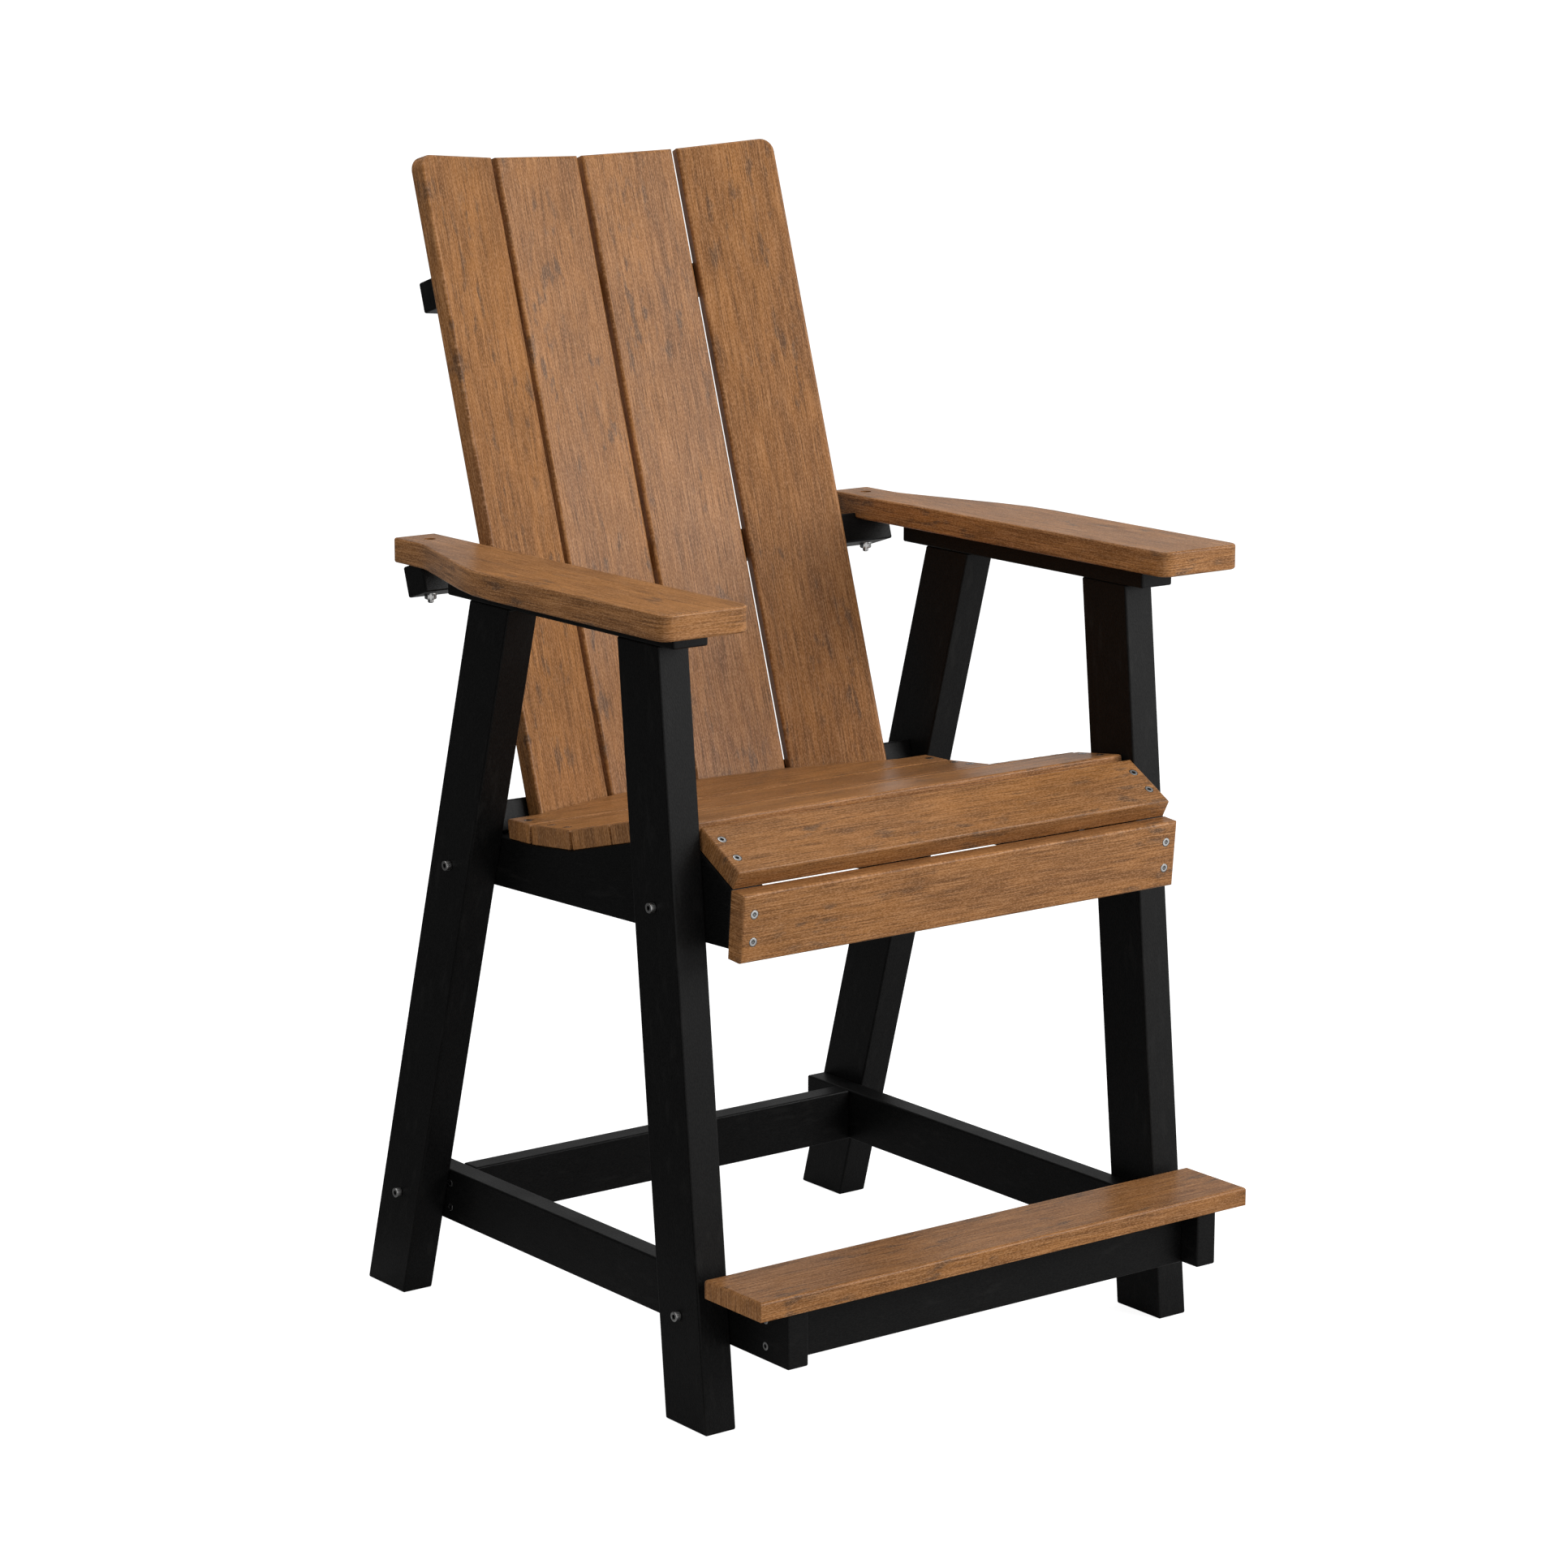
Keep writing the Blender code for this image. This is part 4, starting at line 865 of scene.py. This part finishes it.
def turned_set(name, rings, places, replaced, closed=False):
    """Set of like fasteners: rings of (sides, reach, height) about an axis, copied to each place.

    A place is a point and its axis. A closed profile joins its last ring to its first; an open one is capped.
    A ring with a fourth value gets painted shade by that share, as a recess or the rim of a hole does.
    """
    radius = np.stack([ring_radius(ring[0], ring[1]) for ring in rings])
    tall = np.broadcast_to(np.array([ring[2] for ring in rings])[:, None], radius.shape)
    # share of painted shade at each ring, one per point
    grime = np.repeat([ring[3] if len(ring) > 3 else 0 for ring in rings], ROUND_STEPS)
    local = np.stack([radius * np.cos(ROUND), radius * np.sin(ROUND), tall], -1).reshape(-1, 3)
    index = np.arange(len(local)).reshape(radius.shape)
    quads = ring_quads(np.concatenate([index, index[:1]]) if closed else index)
    caps = [] if closed else [index[0][::-1], index[-1]]
    points, faces = [], []
    for count, (spot, axis) in enumerate(places):
        side = unit(np.cross(axis, X if abs(axis[0]) < 0.9 else Y))
        turn = np.stack([side, np.cross(axis, side), axis])
        points.append(local @ turn + spot)
        faces += (quads + count * len(local)).tolist() + [(cap + count * len(local)).tolist() for cap in caps]
    new_piece(name, np.concatenate(points), faces, STEEL, replaced, sharp=SHARP_ANGLE,
              grime=np.tile(grime, len(places)))


def bolt_rings(shank):
    """Socket-head bolt, from its point up: a chamfer, the shank, a head rounded on top, a hex socket."""
    head, top, shaft = BOLT_HEAD_RADIUS, BOLT_HEAD_HEIGHT, BOLT_SHANK_RADIUS
    return [(0, BOLT_POINT_SHARE * shaft, -shank), (0, shaft, BOLT_POINT - shank), (0, shaft, 0),
            (0, head - BOLT_EDGE, 0), (0, head, BOLT_EDGE), (0, head, top - BOLT_HEAD_ROUND),
            (0, head - BOLT_HEAD_TIP, top - BOLT_HEAD_TIP), (0, head - BOLT_HEAD_ROUND, top),
            (0, BOLT_SOCKET_MOUTH, top), (6, BOLT_SOCKET_FLAT, top - BOLT_EDGE),
            # the socket's floor takes full painted shade
            (6, BOLT_SOCKET_FLAT, top - BOLT_SOCKET_DEPTH, 1)]


def nut_rings(height):
    """Hexagon nut with its corners chamfered on both faces, bored for its bolt."""
    return [(0, BOLT_SHANK_RADIUS, 0), (0, NUT_FLAT, 0), (6, NUT_FLAT, NUT_CHAMFER),
            (6, NUT_FLAT, height - NUT_CHAMFER), (0, NUT_FLAT, height), (0, BOLT_SHANK_RADIUS, height)]


def washer_rings(outer, height):
    """Flat washer with softened rims."""
    rim = WASHER_RIM
    return [(0, BOLT_SHANK_RADIUS, 0), (0, outer - rim, 0), (0, outer, rim), (0, outer, height - rim),
            (0, outer - rim, height), (0, BOLT_SHANK_RADIUS, height)]


def screw_rings(floor_grime=1):
    """Countersunk screw, all but flush, with painted shade round its rim and in its square recess, from under
    the face up.

    Radii are shares of the head's radius or of the square's half width, and heights of the head's rise.
    """
    r, square, rise = SCREW_RADIUS, SCREW_SQUARE, SCREW_RISE
    # fourth values are shares of painted shade: the hole's rim, the square recess and its floor
    return [(0, 0.62 * r, -SCREW_DEPTH, 1), (0, 1.12 * r, -SCREW_LIP, 1), (0, 1.12 * r, 0.2 * rise, 1),
            (0, 1.01 * r, 0.2 * rise, 1), (0, r, 0.5 * rise), (0, 0.95 * r, 0.85 * rise), (0, 0.80 * r, rise),
            (0, 1.55 * square, rise), (4, square, 0.6 * rise, 0.9), (4, 0.90 * square, 0.2 * rise, 1),
            (4, 0.60 * square, 0.2 * rise, floor_grime)]


def add_bolts():
    """Leg bolts and nuts by length, and the arm bolts with their washers and nuts."""
    for board in ("seat", "stretcher"):
        bolts, nuts, bolt_places, nut_places = [], [], [], []
        for end, (word, side) in itertools.product(("front", "rear"), SIDES):
            mark = "%s_%s_%s" % (end, board, word)
            bolt, nut = "leg_bolt_" + mark, "leg_nut_" + mark
            low, high = span(bolt, side * X)
            head = node_middle(bolt)
            head[0] = side * (high - BOLT_HEAD_HEIGHT)
            bolt_places.append((head, side * X))
            seat = node_middle(nut)
            nut_low, nut_high = span(nut, side * X)
            seat[0] = side * nut_high
            nut_places.append((seat, -side * X))
            bolts.append(bolt)
            nuts.append(nut)
        turned_set("leg_bolts_" + board, bolt_rings(high - low - BOLT_HEAD_HEIGHT), bolt_places, bolts)
        turned_set("leg_nuts_" + board, nut_rings(nut_high - nut_low), nut_places, nuts, True)
    names = {kind: ["arm_%s_%s" % (kind, word) for word, _ in SIDES] for kind in ("bolt", "washer", "nut")}
    tops = {kind: [node_middle(node) * (1, 1, 0) + Z * span(node, Z)[1] for node in nodes]
            for kind, nodes in names.items()}
    tall = {kind: np.ptp(span(nodes[0], Z)) for kind, nodes in names.items()}
    turned_set("arm_bolts", bolt_rings(tall["bolt"] - BOLT_HEAD_HEIGHT),
               [(top - Z * BOLT_HEAD_HEIGHT, Z) for top in tops["bolt"]], names["bolt"])
    washer = np.ptp(span(names["washer"][0], X)) / 2
    turned_set("arm_washers", washer_rings(washer, tall["washer"]), [(top, -Z) for top in tops["washer"]],
               names["washer"], True)
    turned_set("arm_nuts", nut_rings(tall["nut"]), [(top, -Z) for top in tops["nut"]], names["nut"], True)


def end_screws(node, axis, normal, inset, shares):
    """Screw places at both ends of a board, by shares of the way down an axis, on the face with a normal."""
    (low, high), face, end = span(node, axis), span(node, normal)[1], span(node, X)[1]
    return [(side * (end - inset) * X + (high + (low - high) * share) * axis + face * normal, normal)
            for share in shares for _, side in SIDES]


def add_screws():
    """Deck screws at the seat slats', the apron's and the cross stretchers' ends and in the braces' backs."""
    seat, stretcher, brace = [], [], []
    for index, (node, tilt) in enumerate(zip(SEAT_SLATS, SEAT_TILTS)):
        shares = REAR_SLAT_SCREW_SHARES if index == 0 else SCREW_SHARES
        seat += end_screws(node, *slat_axes(tilt)[1:], SCREW_END_INSET, shares)
    apron = end_screws("seat_apron", APRON_UP, APRON_OUT, APRON_SCREW_INSET, SCREW_SHARES)
    for node in CROSS_STRETCHERS:
        middle = node_middle(node)
        for word, side in SIDES:
            face = span("side_stretcher_" + word, side * X)[1]
            for rise in (-STRETCHER_SCREW_RISE, STRETCHER_SCREW_RISE):
                stretcher.append((np.array([side * face, middle[1], middle[2] + rise]), side * X))
    for node in BACK_BRACES:
        _, _, _, centre, radius = brace_plan(node)
        height = sum(span(node, BACK_V)) / 2
        for slat in BACK_SLATS:
            for shift in (-SLAT_SCREW_SPREAD, SLAT_SCREW_SPREAD):
                x = node_middle(slat)[0] + shift
                w = centre + math.sqrt(radius ** 2 - x ** 2)
                axis = unit(x * X + (w - centre) * BACK_W)
                brace.append((x * X + w * BACK_W + height * BACK_V, axis))
    turned_set("seat_screws", screw_rings(), seat, [])
    turned_set("apron_screws", screw_rings(APRON_SCREW_SHADE), apron, [])
    turned_set("stretcher_screws", screw_rings(), stretcher, [])
    turned_set("brace_screws", screw_rings(), brace, [])


# Studio

def new_stage_finish(name):
    """Material for the staging with no shader yet, its tree and the socket that takes its shader."""
    finish, tree, surface = new_finish(name)
    tree.nodes.remove(surface)
    return finish, tree, tree.nodes["Material Output"].inputs["Surface"]


def new_sheet(name, points, finish):
    """Sheet of quads on a grid of points, for the staging."""
    grid = np.arange(points[..., 0].size).reshape(points.shape[:2])
    quads = np.stack([grid[:-1, :-1], grid[:-1, 1:], grid[1:, 1:], grid[1:, :-1]], -1).reshape(-1, 4)
    mesh = bpy.data.meshes.new(name)
    mesh.from_pydata(points.reshape(-1, 3).tolist(), [], quads.tolist())
    mesh.materials.append(finish)
    return new_object(name, mesh)


def add_seen(tree, share=1.0):
    """One for the rays that show the background: seen straight, or, by a share, mirrored or through glass."""
    path = tree.nodes.new("ShaderNodeLightPath")
    mirrored = add_sum(tree, "MAXIMUM", path.outputs["Is Glossy Ray"], path.outputs["Is Transmission Ray"])
    return add_sum(tree, "MAXIMUM", path.outputs["Is Camera Ray"], add_sum(tree, "MULTIPLY", mirrored, share))


def add_floor():
    """Pale floor that reads white where light falls on it and keeps the chair's shadow."""
    finish, tree, surface = new_stage_finish("studio_white")
    matte = tree.nodes.new("ShaderNodeBsdfDiffuse")
    matte.inputs["Color"].default_value = FLOOR_COLOUR
    glow = tree.nodes.new("ShaderNodeEmission")
    place = tree.nodes.new("ShaderNodeTexCoord")
    far = tree.nodes.new("ShaderNodeVectorMath")
    far.operation = "LENGTH"
    tree.links.new(place.outputs["Object"], far.inputs[0])
    seen = add_seen(tree, add_range(tree, far.outputs["Value"], *FLOOR_SHEEN))
    tree.links.new(add_sum(tree, "MULTIPLY", seen, FLOOR_GLOW), glow.inputs["Strength"])
    both = tree.nodes.new("ShaderNodeAddShader")
    tree.links.new(matte.outputs[0], both.inputs[0])
    tree.links.new(glow.outputs[0], both.inputs[1])
    tree.links.new(both.outputs[0], surface)
    side = np.linspace(-FLOOR_REACH, FLOOR_REACH, FLOOR_STEPS)
    x, y = np.meshgrid(side, side)
    floor = new_sheet("studio_floor", np.stack([x, y, np.zeros_like(x)], -1), finish)


def add_world():
    """White surroundings where they are seen, and a softer level of the same white as light."""
    world = bpy.data.worlds.new("studio")
    bpy.context.scene.world = world
    world.use_nodes = True
    tree = world.node_tree
    sky = tree.nodes["Background"]
    sky.inputs["Color"].default_value = (1, 1, 1, 1)
    tree.links.new(add_range(tree, add_seen(tree), 0, 1, WORLD_LIGHT, 1.0), sky.inputs["Strength"])


def add_card():
    """Dark card bent round behind the chair, seen only in sheen and steel.

    A profile of (reach, height), in along the floor and then upright, carried round: reach * (cos, sin) of an
    angle. As in the photograph, faces turned away from the lamps then mirror no bright wall or floor.
    """
    finish, tree, surface = new_stage_finish("card_grey")
    glow = tree.nodes.new("ShaderNodeEmission")
    place = tree.nodes.new("ShaderNodeTexCoord")
    split = tree.nodes.new("ShaderNodeSeparateXYZ")
    tree.links.new(place.outputs["Object"], split.inputs["Vector"])
    tree.links.new(add_range(tree, split.outputs["X"], *CARD_LEVELS), glow.inputs["Strength"])
    tree.links.new(glow.outputs[0], surface)
    angle = np.radians(np.linspace(*CARD_ARC, CARD_STEPS))[:, None]
    reach, rise = np.array(CARD_PROFILE).T
    tall = np.broadcast_to(rise, (CARD_STEPS, len(rise)))
    points = np.stack([reach * np.cos(angle), reach * np.sin(angle), tall], -1)
    card = new_sheet("studio_card", points, finish)
    card.visible_camera = False
    card.visible_diffuse = False
    card.visible_shadow = False
    card.visible_transmission = False


def add_softbox(name, place, target, size, power):
    """Soft light aimed at a point."""
    lamp = bpy.data.lights.new(name, "AREA")
    lamp.shape = "RECTANGLE"
    lamp.size, lamp.size_y = size
    lamp.energy = power
    aim = unit(np.array(target, float) - np.array(place, float))
    right = unit(np.cross(aim, Z))
    turn = np.stack([right, np.cross(right, aim), -aim], 1)
    light = new_object(name, lamp)
    light.matrix_world = Matrix.Translation(place) @ Matrix(turn.tolist()).to_4x4()


def add_camera():
    """Camera at the photograph's viewing angle."""
    lens = bpy.data.cameras.new("camera")
    lens.sensor_width = CAMERA_SENSOR
    lens.lens = CAMERA_LENS
    lens.shift_x, lens.shift_y = CAMERA_SHIFT
    lens.clip_end = CAMERA_REACH
    camera = new_object("camera", lens)
    camera.location = CAMERA_PLACE
    camera.rotation_euler = [math.radians(turn) for turn in CAMERA_TURN]
    bpy.context.scene.camera = camera


add_lower_frame()
add_seat()
add_back_slats()
for brace in BACK_BRACES:
    add_brace(brace)
for word, side in SIDES:
    add_arm(word, side)
add_bolts()
add_screws()
add_floor()
add_world()
add_card()
for softbox in SOFTBOXES:
    add_softbox(*softbox)
add_camera()
bpy.context.scene.view_settings.view_transform = "Standard"
